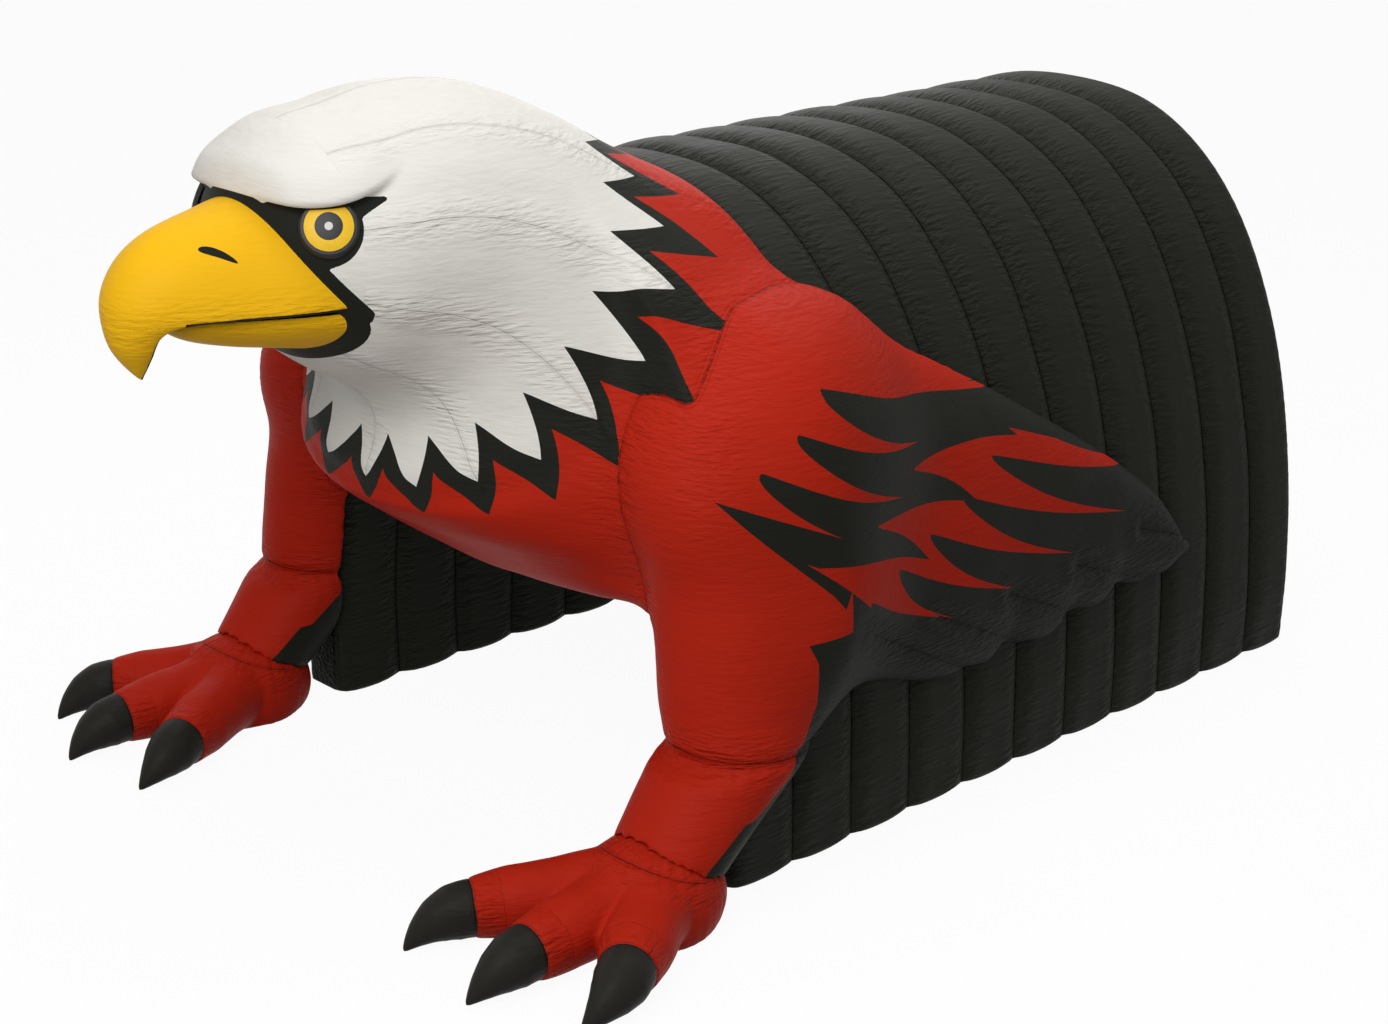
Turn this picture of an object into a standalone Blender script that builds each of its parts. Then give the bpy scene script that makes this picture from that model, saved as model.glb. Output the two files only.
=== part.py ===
"""Inflatable sports tunnel with an eagle front: sewn air chambers, a blower and its fittings.

Run with blender --background --python part.py, or from the text editor.
Metres, +Z up. The bird looks along -Y, its left side is +X, and everything stands on z = 0.
While the pieces are made, y = 0 is the front face of the first tunnel rib and x = 0 is the
centre plane. At the end one empty carries them all to the middle of the footprint.
"""

from math import cos, pi, radians, sin, sqrt

import bmesh
import bpy
import numpy as np
from mathutils import Vector

# Tunnel
TUNNEL_WIDTH = 3.60
TUNNEL_HEIGHT = 3.23
ARCH_POWER = 2.45
RIB_COUNT = 11
RIB_PITCH = 0.4355
WALL = 0.31
OUTER_BULGE = 0.055
INNER_BULGE = 0.04
BULGE_POWER = 2.6
END_ROUNDING = 0.09
ARCH_STEPS = 20
SEAM_GAP = 0.0003

# Bird body: head, neck and chest are one bent spindle that the seams divide
BODY_LENGTH = 1.56
BODY_RISE = 2.72
BODY_WIDTH = 2.76
BODY_DEPTH = 2.10
BELLY_HEIGHT = 1.24
COLLAR_WIDTH = 0.16
MANTLE_LENGTH = 0.95
MANTLE_THICKNESS = 0.13
MANTLE_POWER = 2.4

# Face
BEAK_LENGTH = 0.97
BEAK_WIDTH = 1.18
BEAK_HEIGHT = 0.52
GAPE_HEIGHT = 2.955
JAW_HEIGHT = 0.31
EYE_RADIUS = 0.145
EYE_DOME = 0.06

# Legs
LEG_CENTRE = 1.74
SHOULDER_TOP = 2.80
SHOULDER_WIDTH = 1.04
SHOULDER_DEPTH = 1.44
KNEE_HEIGHT = 0.77
KNEE_WIDTH = 0.72
ANKLE_HEIGHT = 0.30
ANKLE_WIDTH = 0.60
ANKLE_REACH = 0.36
PANEL_TOP = 1.50
PANEL_SLOPE = 0.85
PANEL_SKEW = 0.40
PANEL_START = 0.48
KNEE_BACK = 0.085
SEAM_PINCH = 0.015
LEG_SIDES = 24
FOOT_WIDTH = 0.72
FOOT_LENGTH = 0.80
FOOT_HEIGHT = 0.46
TOE_THICKNESS = 0.40
TOE_TIP_THICKNESS = 0.29
TALON_LENGTH = 0.345
TALON_TIP = 0.02

# Wings
WING_START = 0.50
WING_LENGTH = 3.10
WING_TOP = 2.66
WING_FOOT = 0.70
WING_THICKNESS = 0.26
WING_SINK = 0.06

# Blower and inflation sleeve
SLEEVE_LENGTH = 0.30
BLOWER_RADIUS = 0.26
BLOWER_CUTOFF = 0.18
BLOWER_DEPTH = 0.26
BLOWER_SHELL = 0.006
SCROLL_START = -20
SCROLL_STEPS = 22
OUTLET_RADIUS = 0.09
OUTLET_LENGTH = 0.12
INLET_RADIUS = 0.103
IMPELLER_RADIUS = 0.13
IMPELLER_DEPTH = 0.13
IMPELLER_PLATE = 0.004
IMPELLER_BLADES = 16
BLADE_THICKNESS = 0.003
BLADE_DEPTH = 0.022
HUB_RADIUS = 0.03
HUB_LENGTH = 0.05
MOTOR_RADIUS = 0.065
MOTOR_LENGTH = 0.085
MOTOR_FLANGE = 0.02
SHAFT_RADIUS = 0.008
RUNNING_CLEARANCE = 0.0005
GRILLE_THICKNESS = 0.004
GRILLE_RINGS = 3
GRILLE_SPOKES = 3
GRILLE_RIM = 0.02
GRILLE_BAR = 0.005
HANDLE_HEIGHT = 0.055
HANDLE_LENGTH = 0.15
HANDLE_BAR = 0.012
SKID_WIDTH = 0.03
SKID_LENGTH = 0.34
SKID_HEIGHT = 0.03
BOX_WIDTH = 0.06
BOX_HEIGHT = 0.10
BOX_DEPTH = 0.045
BOX_CLEARANCE = 0.004
SWITCH_WIDTH = 0.022
SWITCH_HEIGHT = 0.03
SWITCH_DEPTH = 0.012
SWITCH_CLEARANCE = 0.0008
SWITCH_TILT = 8
GLAND_RADIUS = 0.011
GLAND_LENGTH = 0.03
SLEEVE_WALL = 0.004
SLEEVE_FLARE = 0.035
STRAP_WIDTH = 0.038
STRAP_THICKNESS = 0.003

# Deflation zip on the rear face
ZIP_FOOT = 0.55
ZIP_LENGTH = 0.70
ZIP_TAPE_WIDTH = 0.05
ZIP_TAPE_THICKNESS = 0.003
ZIP_CHAIN_WIDTH = 0.012
ZIP_CHAIN_THICKNESS = 0.004
SLIDER_LENGTH = 0.034
SLIDER_WIDTH = 0.024
SLIDER_THICKNESS = 0.005
PULL_LENGTH = 0.05
PULL_WIDTH = 0.014
PULL_THICKNESS = 0.003

# Tie-down points on the rear face
TAB_WIDTH = 0.06
TAB_HEIGHT = 0.09
TAB_THICKNESS = 0.004
TAB_ABOVE_FLOOR = 0.36
RING_WIRE = 0.004
RING_WIDTH = 0.056
RING_HEIGHT = 0.045
RING_CLEARANCE = 0.0008
RING_STEPS = 10
LOOP_WALL = 0.004
OVERRUN = 0.01

# Stations of the lofts, as shares of the sizes above, chosen by eye for the bird's outline.
# Body rows: along, up from the belly, half width, half depth, then the section's tilt in degrees.
BODY_ROW_SHARES = (
    (-0.949, 0.710, 0.217, 0.248, 0),
    (-0.833, 0.710, 0.391, 0.438, 0),
    (-0.673, 0.702, 0.507, 0.590, 2),
    (-0.481, 0.691, 0.572, 0.710, 6),
    (-0.301, 0.658, 0.630, 0.800, 18),
    (-0.141, 0.596, 0.717, 0.895, 34),
    (-0.019, 0.511, 0.833, 0.981, 48.5),
    (0.019, 0.434, 0.899, 0.933, 56),
    (0.032, 0.360, 0.942, 0.895, 64),
    (0.038, 0.287, 0.964, 0.800, 72),
    (0.032, 0.206, 0.964, 0.667, 80),
    (0.019, 0.125, 0.949, 0.438, 86),
    (0.000, 0.051, 0.870, 0.190, 90),
)
BODY_NOSE_SHARE = (-0.981, 0.710)
BODY_BELLY_SHARE = (-0.006, 0.000)
HOOD_ROWS = 7
BEAK_ROW_SHARES = (
    (0.00, 1.000, 0.960, 0.00, 0),
    (0.35, 0.857, 0.942, 0.00, 0),
    (0.60, 0.679, 0.865, 0.00, 0),
    (0.82, 0.536, 0.731, 0.02, -8),
    (0.93, 0.429, 0.519, 0.05, -35),
    (0.99, 0.321, 0.346, 0.07, -60),
    (1.00, 0.196, 0.231, 0.07, -80),
)
BEAK_DROP_SHARES = (0.0, 0.0, 0.0, 0.01, -0.01, -0.10, -0.30)
BEAK_TIP_SHARE = (0.99, -0.57)
JAW_ROW_SHARES = ((0.00, 0.893, 0.97), (0.30, 0.768, 0.77), (0.60, 0.554, 0.58), (0.80, 0.339, 0.36))
JAW_TIP_SHARE = (0.89, -0.16)
# Leg rows: up, inward, back from the front face, half width, half depth
SHOULDER_ROW_SHARES = (
    (0.357, 0.038, 0.111, 0.731, 0.583),
    (0.464, 0.077, 0.181, 0.808, 0.694),
    (0.571, 0.135, 0.229, 0.885, 0.778),
    (0.679, 0.183, 0.264, 0.962, 0.944),
    (0.768, 0.231, 0.299, 1.000, 1.000),
    (0.857, 0.308, 0.347, 0.962, 0.917),
    (0.929, 0.404, 0.417, 0.808, 0.722),
    (0.971, 0.471, 0.486, 0.577, 0.472),
)
SHOULDER_CAP_SHARE = (1.000, 0.519, 0.521)
# Toe rows: joint place from the ankle, across and forward, in foot widths and foot lengths
TOE_PLACE_SHARES = {"inner": (-0.65, 1.06), "middle": (0.05, 1.15), "outer": (0.66, 0.87)}
TALON_TURN_SHARES = {"inner": -0.30, "middle": -0.06, "outer": 0.20}
# Wing outline: along, upper edge and lower edge, as shares of its length and height
WING_EDGE_SHARES = (
    (0.00, 1.000, 0.153),
    (0.15, 1.000, 0.082),
    (0.29, 0.918, 0.020),
    (0.43, 0.806, 0.005),
    (0.60, 0.648, 0.010),
    (0.76, 0.490, 0.046),
    (0.89, 0.337, 0.051),
    (0.95, 0.219, 0.061),
)
RIB_OUTER_SHARES = (0.0, 0.12, 0.32, 0.68, 0.88, 1.0)
RIB_INNER_SHARES = (1.0, 0.75, 0.25, 0.0)
WING_TIP_SHARE = (1.00, 0.117)
WING_PUFF_SHARES = (0.45, 0.80, 0.97, 0.97, 0.80, 0.45)
WING_TAPER_SHARE = 0.55
WING_DOME_SHARE = 0.55
WING_TIP_SPREAD_SHARE = 0.08
MANTLE_EDGE_SHARE = 0.25
MANTLE_ROW_SHARES = (0.0, 0.25, 0.5, 0.72, 0.88, 0.97)
EYE_PLACE_SHARE = (0.360, -0.820, 0.775)
EYE_FACING_SHARE = (0.72, -0.58, 0.38)
SHIN_ROW_SHARES = (0.1, 0.4, 0.75, 1.0, 1.3)
SHIN_DEPTH_SHARE = 1.15
PANEL_ROW_SHARES = ((0.0, 0.85), (0.35, 0.75), (0.7, 0.6), (1.02, 0.45))
TOE_ROW_SHARES = ((0.0, 0.2), (0.3, 0.0), (0.58, 0.35), (0.8, 0.45), (0.95, 0.85), (1.0, 1.0))
TALON_ROW_SHARES = ((0.0, 0.96), (0.25, 0.92), (0.5, 0.72), (0.75, 0.42), (0.9, 0.2))
TALON_ARCH_SHARE = 0.55
SLEEVE_ROW_SHARES = ((0.0, 0.9), (0.2, 1.0), (0.45, 0.7), (0.62, 0.2), (0.72, 0.0), (1.0, 0.0))
SLEEVE_LAP_SHARE = 0.75
SLEEVE_DROP_SHARE = 0.25
HANDLE_SEAT_SHARE = 0.75
GLAND_TIP_SHARE = 0.7
ROCKER_OUTLINE_SHARES = (
    (-0.25, -0.80),
    (0.50, -0.90),
    (0.80, -0.80),
    (0.50, 0.00),
    (0.80, 0.80),
    (0.50, 0.90),
    (-0.25, 0.80),
)
WING_BAND_SHARES = {"primaries": (0.0, 0.22), "secondaries": (0.22, 0.47), "coverts": (0.47, 1.0)}

RED = (0.45, 0.022, 0.014)
BLACK = (0.014, 0.016, 0.014)
WHITE = (0.75, 0.73, 0.69)
YELLOW = (0.80, 0.42, 0.015)
IRIS = (0.78, 0.44, 0.02)
TALON = (0.022, 0.022, 0.021)
PLASTIC = (0.035, 0.09, 0.26)
STEEL = (0.55, 0.56, 0.57)

HALF = TUNNEL_WIDTH / 2
TUNNEL_LENGTH = RIB_COUNT * RIB_PITCH
FLAT_REAR = TUNNEL_LENGTH - SEAM_GAP


def material(name, colour, roughness, metallic=0.0):
    made = bpy.data.materials.new(name)
    made.use_nodes = True
    shader = made.node_tree.nodes["Principled BSDF"]
    shader.inputs["Base Color"].default_value = (*colour, 1.0)
    shader.inputs["Roughness"].default_value = roughness
    shader.inputs["Metallic"].default_value = metallic
    made.diffuse_color = (*colour, 1.0)
    return made


def add_mesh(name, build, finish, parent=None):
    """One object whose mesh build(bm) makes, its quads in triangles, closed and facing out."""
    bm = bmesh.new()
    build(bm)
    bmesh.ops.triangulate(bm, faces=[face for face in bm.faces if len(face.verts) == 4])
    bmesh.ops.recalc_face_normals(bm, faces=bm.faces)
    mesh = bpy.data.meshes.new(name)
    bm.to_mesh(mesh)
    bm.free()
    mesh.shade_smooth()
    mesh.set_sharp_from_angle(angle=radians(40))
    made = bpy.data.objects.new(name, mesh)
    made.data.materials.append(finish)
    bpy.context.scene.collection.objects.link(made)
    if parent:
        made.parent = parent
    return made


def helper(made):
    made.hide_render = True
    made.display_type = "WIRE"
    return made


def loft(bm, rings, start=None, end=None):
    """Skin between rings of equal count. start and end are tip points, else flat caps."""
    rows = [[bm.verts.new(point) for point in ring] for ring in rings]
    for low, high in zip(rows, rows[1:]):
        for i, corner in enumerate(low):
            bm.faces.new((low[i - 1], corner, high[i], high[i - 1]))
    for row, tip in ((rows[0], start), (rows[-1], end)):
        if tip is None:
            bm.faces.new(row)
            continue
        point = bm.verts.new(tip)
        for i, corner in enumerate(row):
            bm.faces.new((row[i - 1], corner, point))


def lofted(name, rings, finish, parent=None, start=None, end=None):
    return add_mesh(name, lambda bm: loft(bm, rings, start, end), finish, parent)


def apply_boolean(made, other, operation):
    step = made.modifiers.new(operation.title(), "BOOLEAN")
    step.operation = operation
    step.solver = "EXACT"
    step.object = other
    return made


def grown(made):
    """A hidden copy of a piece, one seam gap fatter, that cuts its neighbours."""
    copy = bpy.data.objects.new(made.name + "_cutter", made.data)
    copy.parent = made.parent
    copy.matrix_world = made.matrix_world
    bpy.context.scene.collection.objects.link(copy)
    swell = copy.modifiers.new("Gap", "DISPLACE")
    swell.strength = SEAM_GAP * 1.5
    swell.mid_level = 0.0
    return helper(copy)


def cut(made, *others):
    for other in others:
        apply_boolean(made, other, "DIFFERENCE")
    return made


def ellipse(centre, across, up, half_width, rise, drop, count):
    """A closed ring round centre: half_width along across, rise above it and drop below."""
    ring = []
    for i in range(count):
        turn = 2 * pi * i / count
        lift = sin(turn) * (rise if sin(turn) > 0 else drop)
        ring.append(centre + across * (cos(turn) * half_width) + up * lift)
    return ring


def level_ring(centre, half_width, half_depth, count):
    return ellipse(centre, Vector((1, 0, 0)), Vector((0, 1, 0)), half_width, half_depth, half_depth, count)


def spread(low, high, count):
    return [low + (high - low) * i / (count - 1) for i in range(count)]


def arch_stations():
    """Points of the outer seam line and their outward normals, evenly spaced, +X foot first."""
    turns = np.linspace(0, pi, 4001)
    across = HALF * np.sign(np.cos(turns)) * np.abs(np.cos(turns)) ** (2 / ARCH_POWER)
    up = TUNNEL_HEIGHT * np.abs(np.sin(turns)) ** (2 / ARCH_POWER)
    run = np.concatenate([[0], np.cumsum(np.hypot(np.diff(across), np.diff(up)))])
    found = []
    for step in range(ARCH_STEPS + 1):
        along = run[-1] * step / ARCH_STEPS
        x, z = np.interp(along, run, across), np.interp(along, run, up)
        slope_x = np.sign(x) * (abs(x) / HALF) ** (ARCH_POWER - 1) / HALF
        slope_z = (z / TUNNEL_HEIGHT) ** (ARCH_POWER - 1) / TUNNEL_HEIGHT
        if step in (0, ARCH_STEPS):
            slope_z = z = 0.0
        found.append((Vector((x, 0, z)), Vector((slope_x, 0, slope_z)).normalized()))
    return found


STATIONS = arch_stations()


def arch_point(station, height, y):
    point, normal = STATIONS[station]
    return point + normal * height + Vector((0, y, 0))


def on_arch(share, height, y):
    """The point a share of the way over the faceted arch, height outside its seam line."""
    place = min(max(share, 0.0), 1.0) * ARCH_STEPS
    low = min(int(place), ARCH_STEPS - 1)
    return arch_point(low, height, y).lerp(arch_point(low + 1, height, y), place - low)


def share_at_height(z, side):
    """Where the crest of the ribs is z above the floor, on the +X or the -X side."""
    low, high = 0.0, 0.5
    for _ in range(40):
        middle = (low + high) / 2
        if on_arch(middle, OUTER_BULGE, 0).z < z:
            low = middle
        else:
            high = middle
    return low if side > 0 else 1 - low


def bulge(share):
    """How far a chamber has blown out between its two seams, as a share of its fullest height."""
    return 1 - abs(2 * share - 1) ** BULGE_POWER


def rib_profile(last):
    """Height outside the seam line and place along the rib, once round its section."""
    width = RIB_PITCH - SEAM_GAP
    outer = [(OUTER_BULGE * bulge(u), u * width) for u in RIB_OUTER_SHARES]
    inner = [(-WALL - INNER_BULGE * bulge(u), u * width) for u in RIB_INNER_SHARES]
    if not last:
        return outer + inner
    ring = outer[: len(outer) // 2]
    corner = width - END_ROUNDING
    for turn in (90, 60, 30, 0):
        lift = OUTER_BULGE - END_ROUNDING * (1 - sin(radians(turn)))
        ring.append((lift, corner + END_ROUNDING * cos(radians(turn))))
    for turn in (0, 45, 90):
        deep = -WALL - INNER_BULGE + END_ROUNDING * (1 - sin(radians(turn)))
        ring.append((deep, corner + END_ROUNDING * cos(radians(turn))))
    return ring + inner[len(inner) // 2 :]


def add_ribs(finish, parent):
    for number in range(RIB_COUNT):
        profile = rib_profile(number == RIB_COUNT - 1)
        start = number * RIB_PITCH
        rings = [
            [arch_point(station, height, start + y) for height, y in profile]
            for station in range(ARCH_STEPS + 1)
        ]
        lofted(f"tunnel_rib_{number + 1:02d}", rings, finish, parent)


def add_envelope(finish, parent):
    """The space of the whole tunnel to its crests, which cuts whatever lies on it."""
    outline = [arch_point(station, OUTER_BULGE + SEAM_GAP, 0) for station in range(ARCH_STEPS + 1)]
    outline = [outline[0] - Vector((0, 0, WALL)), *outline, outline[-1] - Vector((0, 0, WALL))]
    rings = [[point + Vector((0, y, 0)) for point in outline] for y in (-SEAM_GAP, TUNNEL_LENGTH + WALL)]
    return helper(lofted("tunnel_envelope", rings, finish, parent))


def body_rings(rows, count=28):
    rings = []
    for along, rise, width, depth, tilt in rows:
        centre = Vector((0, along * BODY_LENGTH, BELLY_HEIGHT + rise * BODY_RISE))
        up = Vector((0, sin(radians(tilt)), cos(radians(tilt))))
        half_width, half_depth = width * BODY_WIDTH / 2, depth * BODY_DEPTH / 2
        rings.append(ellipse(centre, Vector((1, 0, 0)), up, half_width, half_depth, half_depth, count))
    return rings


def body_point(share):
    return Vector((0, share[0] * BODY_LENGTH, BELLY_HEIGHT + share[1] * BODY_RISE))


def shifted(ring, other, distance):
    """The ring moved towards the next one by a distance measured at their centres."""
    centre = sum(ring, Vector()) / len(ring)
    away = sum(other, Vector()) / len(other)
    part = distance / (away - centre).length
    return [a.lerp(b, part) for a, b in zip(ring, other)]


def add_body(finishes, envelope, parent):
    """Head, collar and chest, and a cutter of each for whatever is sewn against them."""
    rings = body_rings(BODY_ROW_SHARES)
    hood = rings[:HOOD_ROWS]
    rest = rings[HOOD_ROWS - 1 :]
    collar_end = shifted(rest[0], rest[1], COLLAR_WIDTH)
    head = lofted("head", hood, finishes["white"], parent, start=body_point(BODY_NOSE_SHARE))
    collar_rings = [shifted(rest[0], rest[1], SEAM_GAP * 2), collar_end]
    collar = lofted("collar", collar_rings, finishes["black"], parent)
    chest_rings = [shifted(rest[0], rest[1], COLLAR_WIDTH + SEAM_GAP * 2), *rest[1:]]
    chest = lofted("chest", chest_rings, finishes["red"], parent, end=body_point(BODY_BELLY_SHARE))
    cutters = [grown(head), grown(collar), grown(chest)]
    rear_low, rear_high = (-HALF, -SEAM_GAP, 0), (HALF, TUNNEL_LENGTH, TUNNEL_HEIGHT * 2)
    rear = block("rear_cut", rear_low, rear_high, finishes["black"], parent)
    settled(cut(head, envelope))
    settled(cut(chest, envelope))
    settled(cut(collar, helper(rear)))
    return cutters


def add_mantle(finishes, cutters, parent):
    """The puffed red band that lies over the first ribs, from shoulder to shoulder."""
    low = OUTER_BULGE + SEAM_GAP
    profile = [(low, 0.0)]
    for share in MANTLE_ROW_SHARES:
        lift = MANTLE_THICKNESS * sqrt(1 - share**MANTLE_POWER)
        profile.append((low + lift, share * MANTLE_LENGTH))
    profile.append((low, MANTLE_LENGTH))
    edge = round(ARCH_STEPS * MANTLE_EDGE_SHARE)
    rings = [
        [arch_point(station, height, y) for height, y in profile]
        for station in range(edge, ARCH_STEPS - edge + 1)
    ]
    mantle = lofted("mantle", rings, finishes["red"], parent)
    return settled(cut(mantle, *cutters))


def add_beak(finishes, head_cutter, parent):
    base = BODY_NOSE_SHARE[0] * BODY_LENGTH + BEAK_LENGTH / 2
    across = Vector((1, 0, 0))
    rings = []
    for (along, width, rise, drop, tilt), lift in zip(BEAK_ROW_SHARES, BEAK_DROP_SHARES):
        centre = Vector((0, base - along * BEAK_LENGTH, GAPE_HEIGHT + lift * BEAK_HEIGHT))
        up = Vector((0, sin(radians(tilt)), cos(radians(tilt))))
        rings.append(
            ellipse(centre, across, up, width * BEAK_WIDTH / 2, rise * BEAK_HEIGHT, drop * BEAK_HEIGHT, 20)
        )
    tip = Vector((0, base - BEAK_TIP_SHARE[0] * BEAK_LENGTH, GAPE_HEIGHT + BEAK_TIP_SHARE[1] * BEAK_HEIGHT))
    upper = lofted("beak_upper", rings, finishes["yellow"], parent, end=tip)
    jaw_rings = []
    for along, width, drop in JAW_ROW_SHARES:
        centre = Vector((0, base - along * BEAK_LENGTH, GAPE_HEIGHT - SEAM_GAP))
        jaw_rings.append(
            ellipse(centre, across, Vector((0, 0, 1)), width * BEAK_WIDTH / 2, 0.0, drop * JAW_HEIGHT, 20)
        )
    jaw_tip = Vector((0, base - JAW_TIP_SHARE[0] * BEAK_LENGTH, GAPE_HEIGHT + JAW_TIP_SHARE[1] * JAW_HEIGHT))
    lower = lofted("beak_lower", jaw_rings, finishes["yellow"], parent, end=jaw_tip)
    cut(lower, grown(upper), head_cutter)
    cut(upper, head_cutter)
    return upper, lower


def ball_rings(centre, axes, radii, steps, count):
    """Rings of an ellipsoid along axes[0], without its two poles."""
    rings = []
    for i in range(1, steps):
        turn = pi * i / steps
        middle = centre - axes[0] * (cos(turn) * radii[0])
        half_width, half_height = sin(turn) * radii[1], sin(turn) * radii[2]
        rings.append(ellipse(middle, axes[1], axes[2], half_width, half_height, half_height, count))
    return rings, centre - axes[0] * radii[0], centre + axes[0] * radii[0]


def add_ball(name, centre, axes, radii, steps, count, finish, parent):
    rings, low, high = ball_rings(centre, axes, radii, steps, count)
    return lofted(name, rings, finish, parent, start=low, end=high)


def settled(made):
    """The piece with its modifiers applied, so that copies of it can cut others."""
    bpy.context.view_layer.update()
    solid = made.evaluated_get(bpy.context.evaluated_depsgraph_get())
    made.data = bpy.data.meshes.new_from_object(solid)
    made.modifiers.clear()
    return made


def joined(made, *others):
    for other in others:
        apply_boolean(made, helper(other), "UNION")
    return made


def block(name, low, high, finish, parent):
    """A box between two corners."""
    low, high = Vector(low), Vector(high)

    def build(bm):
        size = high - low
        bmesh.ops.create_cube(bm, size=1.0)
        for vert in bm.verts:
            vert.co = Vector((vert.co[k] * size[k] for k in range(3))) + (low + high) / 2

    return add_mesh(name, build, finish, parent)


def rod(name, start, end, radius, finish, parent, sides=24, end_radius=None):
    """A round bar, or a cone where the end has a radius of its own."""
    start, end = Vector(start), Vector(end)
    along = (end - start).normalized()
    across = along.orthogonal().normalized()
    up = along.cross(across)
    far = radius if end_radius is None else end_radius
    rings = [ellipse(start, across, up, radius, radius, radius, sides)]
    rings.append(ellipse(end, across, up, far, far, far, sides))
    return lofted(name, rings, finish, parent)


def tube_along(name, path, radius, finish, parent, sides=12, closed=False):
    """A round wire bent along a path that lies in one plane."""
    path = [Vector(point) for point in path]
    count = len(path)
    normal = (path[count // 3] - path[0]).cross(path[2 * count // 3] - path[0]).normalized()
    rings = []
    for i, point in enumerate(path):
        before = path[i - 1] if closed or i else point
        after = path[(i + 1) % count] if closed or i < count - 1 else point
        side = (after - before).normalized().cross(normal)
        rings.append(ellipse(point, side, normal, radius, radius, radius, sides))
    if not closed:
        return lofted(name, rings, finish, parent)

    def build(bm):
        rows = [[bm.verts.new(point) for point in ring] for ring in rings]
        for low, high in zip(rows, rows[1:] + rows[:1]):
            for i, corner in enumerate(low):
                bm.faces.new((low[i - 1], corner, high[i], high[i - 1]))

    return add_mesh(name, build, finish, parent)


def side_name(name, side):
    return f"{name}_{'left' if side > 0 else 'right'}"


def knee_ring(side, pinch):
    centre = Vector((side * LEG_CENTRE, KNEE_BACK, KNEE_HEIGHT))
    return level_ring(centre, KNEE_WIDTH / 2 - pinch, KNEE_WIDTH / 2 - pinch, LEG_SIDES)


def shoulder_rings(side):
    rings = [knee_ring(side, SEAM_PINCH)]
    for rise, inward, back, width, depth in SHOULDER_ROW_SHARES:
        centre = Vector(
            (side * (LEG_CENTRE - inward * SHOULDER_WIDTH), back * SHOULDER_DEPTH, rise * SHOULDER_TOP)
        )
        rings.append(level_ring(centre, width * SHOULDER_WIDTH / 2, depth * SHOULDER_DEPTH / 2, LEG_SIDES))
    rise, inward, back = SHOULDER_CAP_SHARE
    cap = Vector((side * (LEG_CENTRE - inward * SHOULDER_WIDTH), back * SHOULDER_DEPTH, rise * SHOULDER_TOP))
    return rings, cap


def shin_rings(side):
    """From the knee seam down and forward, and on into the foot, which cuts it off."""
    knee = Vector((side * LEG_CENTRE, KNEE_BACK, KNEE_HEIGHT))
    ankle = Vector((side * LEG_CENTRE, -ANKLE_REACH, ANKLE_HEIGHT))
    rings = [knee_ring(side, SEAM_PINCH)]
    for share in SHIN_ROW_SHARES:
        centre = knee.lerp(ankle, share)
        half_width = (KNEE_WIDTH + (ANKLE_WIDTH - KNEE_WIDTH) * share) / 2
        rings.append(level_ring(centre, half_width, half_width * SHIN_DEPTH_SHARE, LEG_SIDES))
    return rings


def add_panel_space(side, finish, parent):
    """The space behind the slanted seam, which parts a leg's dark rear panel from its red front."""

    def seam(x, z):
        return -PANEL_START + PANEL_SLOPE * (z - ANKLE_HEIGHT) + PANEL_SKEW * (x - LEG_CENTRE)

    rings = []
    for x in (LEG_CENTRE - SHOULDER_WIDTH, LEG_CENTRE + SHOULDER_WIDTH):
        ring = [(seam(x, -ANKLE_HEIGHT), -ANKLE_HEIGHT), (seam(x, PANEL_TOP), PANEL_TOP)]
        ring += [(SHOULDER_DEPTH, PANEL_TOP), (SHOULDER_DEPTH, -ANKLE_HEIGHT)]
        rings.append([Vector((side * x, y, z)) for y, z in ring])
    return helper(lofted(side_name("panel_space", side), rings, finish, parent))


def add_leg(side, finishes, envelope, body_cutters, foot, parent):
    """Shoulder, shin and the dark panel behind them. Returns the cutter for the wing and the mantle."""
    red, black = finishes["red"], finishes["black"]
    upper, cap = shoulder_rings(side)
    lower = shin_rings(side)
    space = add_panel_space(side, black, parent)
    space_cutter = grown(space)
    foot_cutter = grown(foot)
    shoulder = lofted(side_name("shoulder", side), upper, red, parent, end=cap)
    settled(cut(shoulder, envelope, space_cutter, *body_cutters))
    lower_start = [point - Vector((0, 0, SEAM_GAP)) for point in lower[0]]
    shin = lofted(side_name("shin", side), [lower_start, *lower[1:]], red, parent)
    settled(cut(shin, space_cutter, foot_cutter, envelope))
    guide = lofted(side_name("leg_guide", side), [*reversed(lower), *upper[1:]], black, parent, end=cap)
    half_wall = (WALL + OUTER_BULGE + INNER_BULGE) / 2
    rings = []
    for rise, reach in PANEL_ROW_SHARES:
        centre = Vector((side * (HALF - WALL / 2), 0, rise * PANEL_TOP))
        rings.append(level_ring(centre, half_wall, reach * PANEL_START, LEG_SIDES))
    panel = lofted(side_name("leg_panel", side), rings, black, parent)
    joined(panel, guide)
    apply_boolean(panel, space, "INTERSECT")
    settled(cut(panel, envelope, foot_cutter, *body_cutters))
    return grown(guide)


def toe_path(side, toe):
    across, forward = TOE_PLACE_SHARES[toe]
    start = Vector((side * LEG_CENTRE, -ANKLE_REACH, TOE_THICKNESS / 2))
    end = start + Vector((side * across * FOOT_WIDTH, -forward * FOOT_LENGTH, 0))
    end.z = TOE_TIP_THICKNESS / 2 + TALON_TIP
    return start, end


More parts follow.
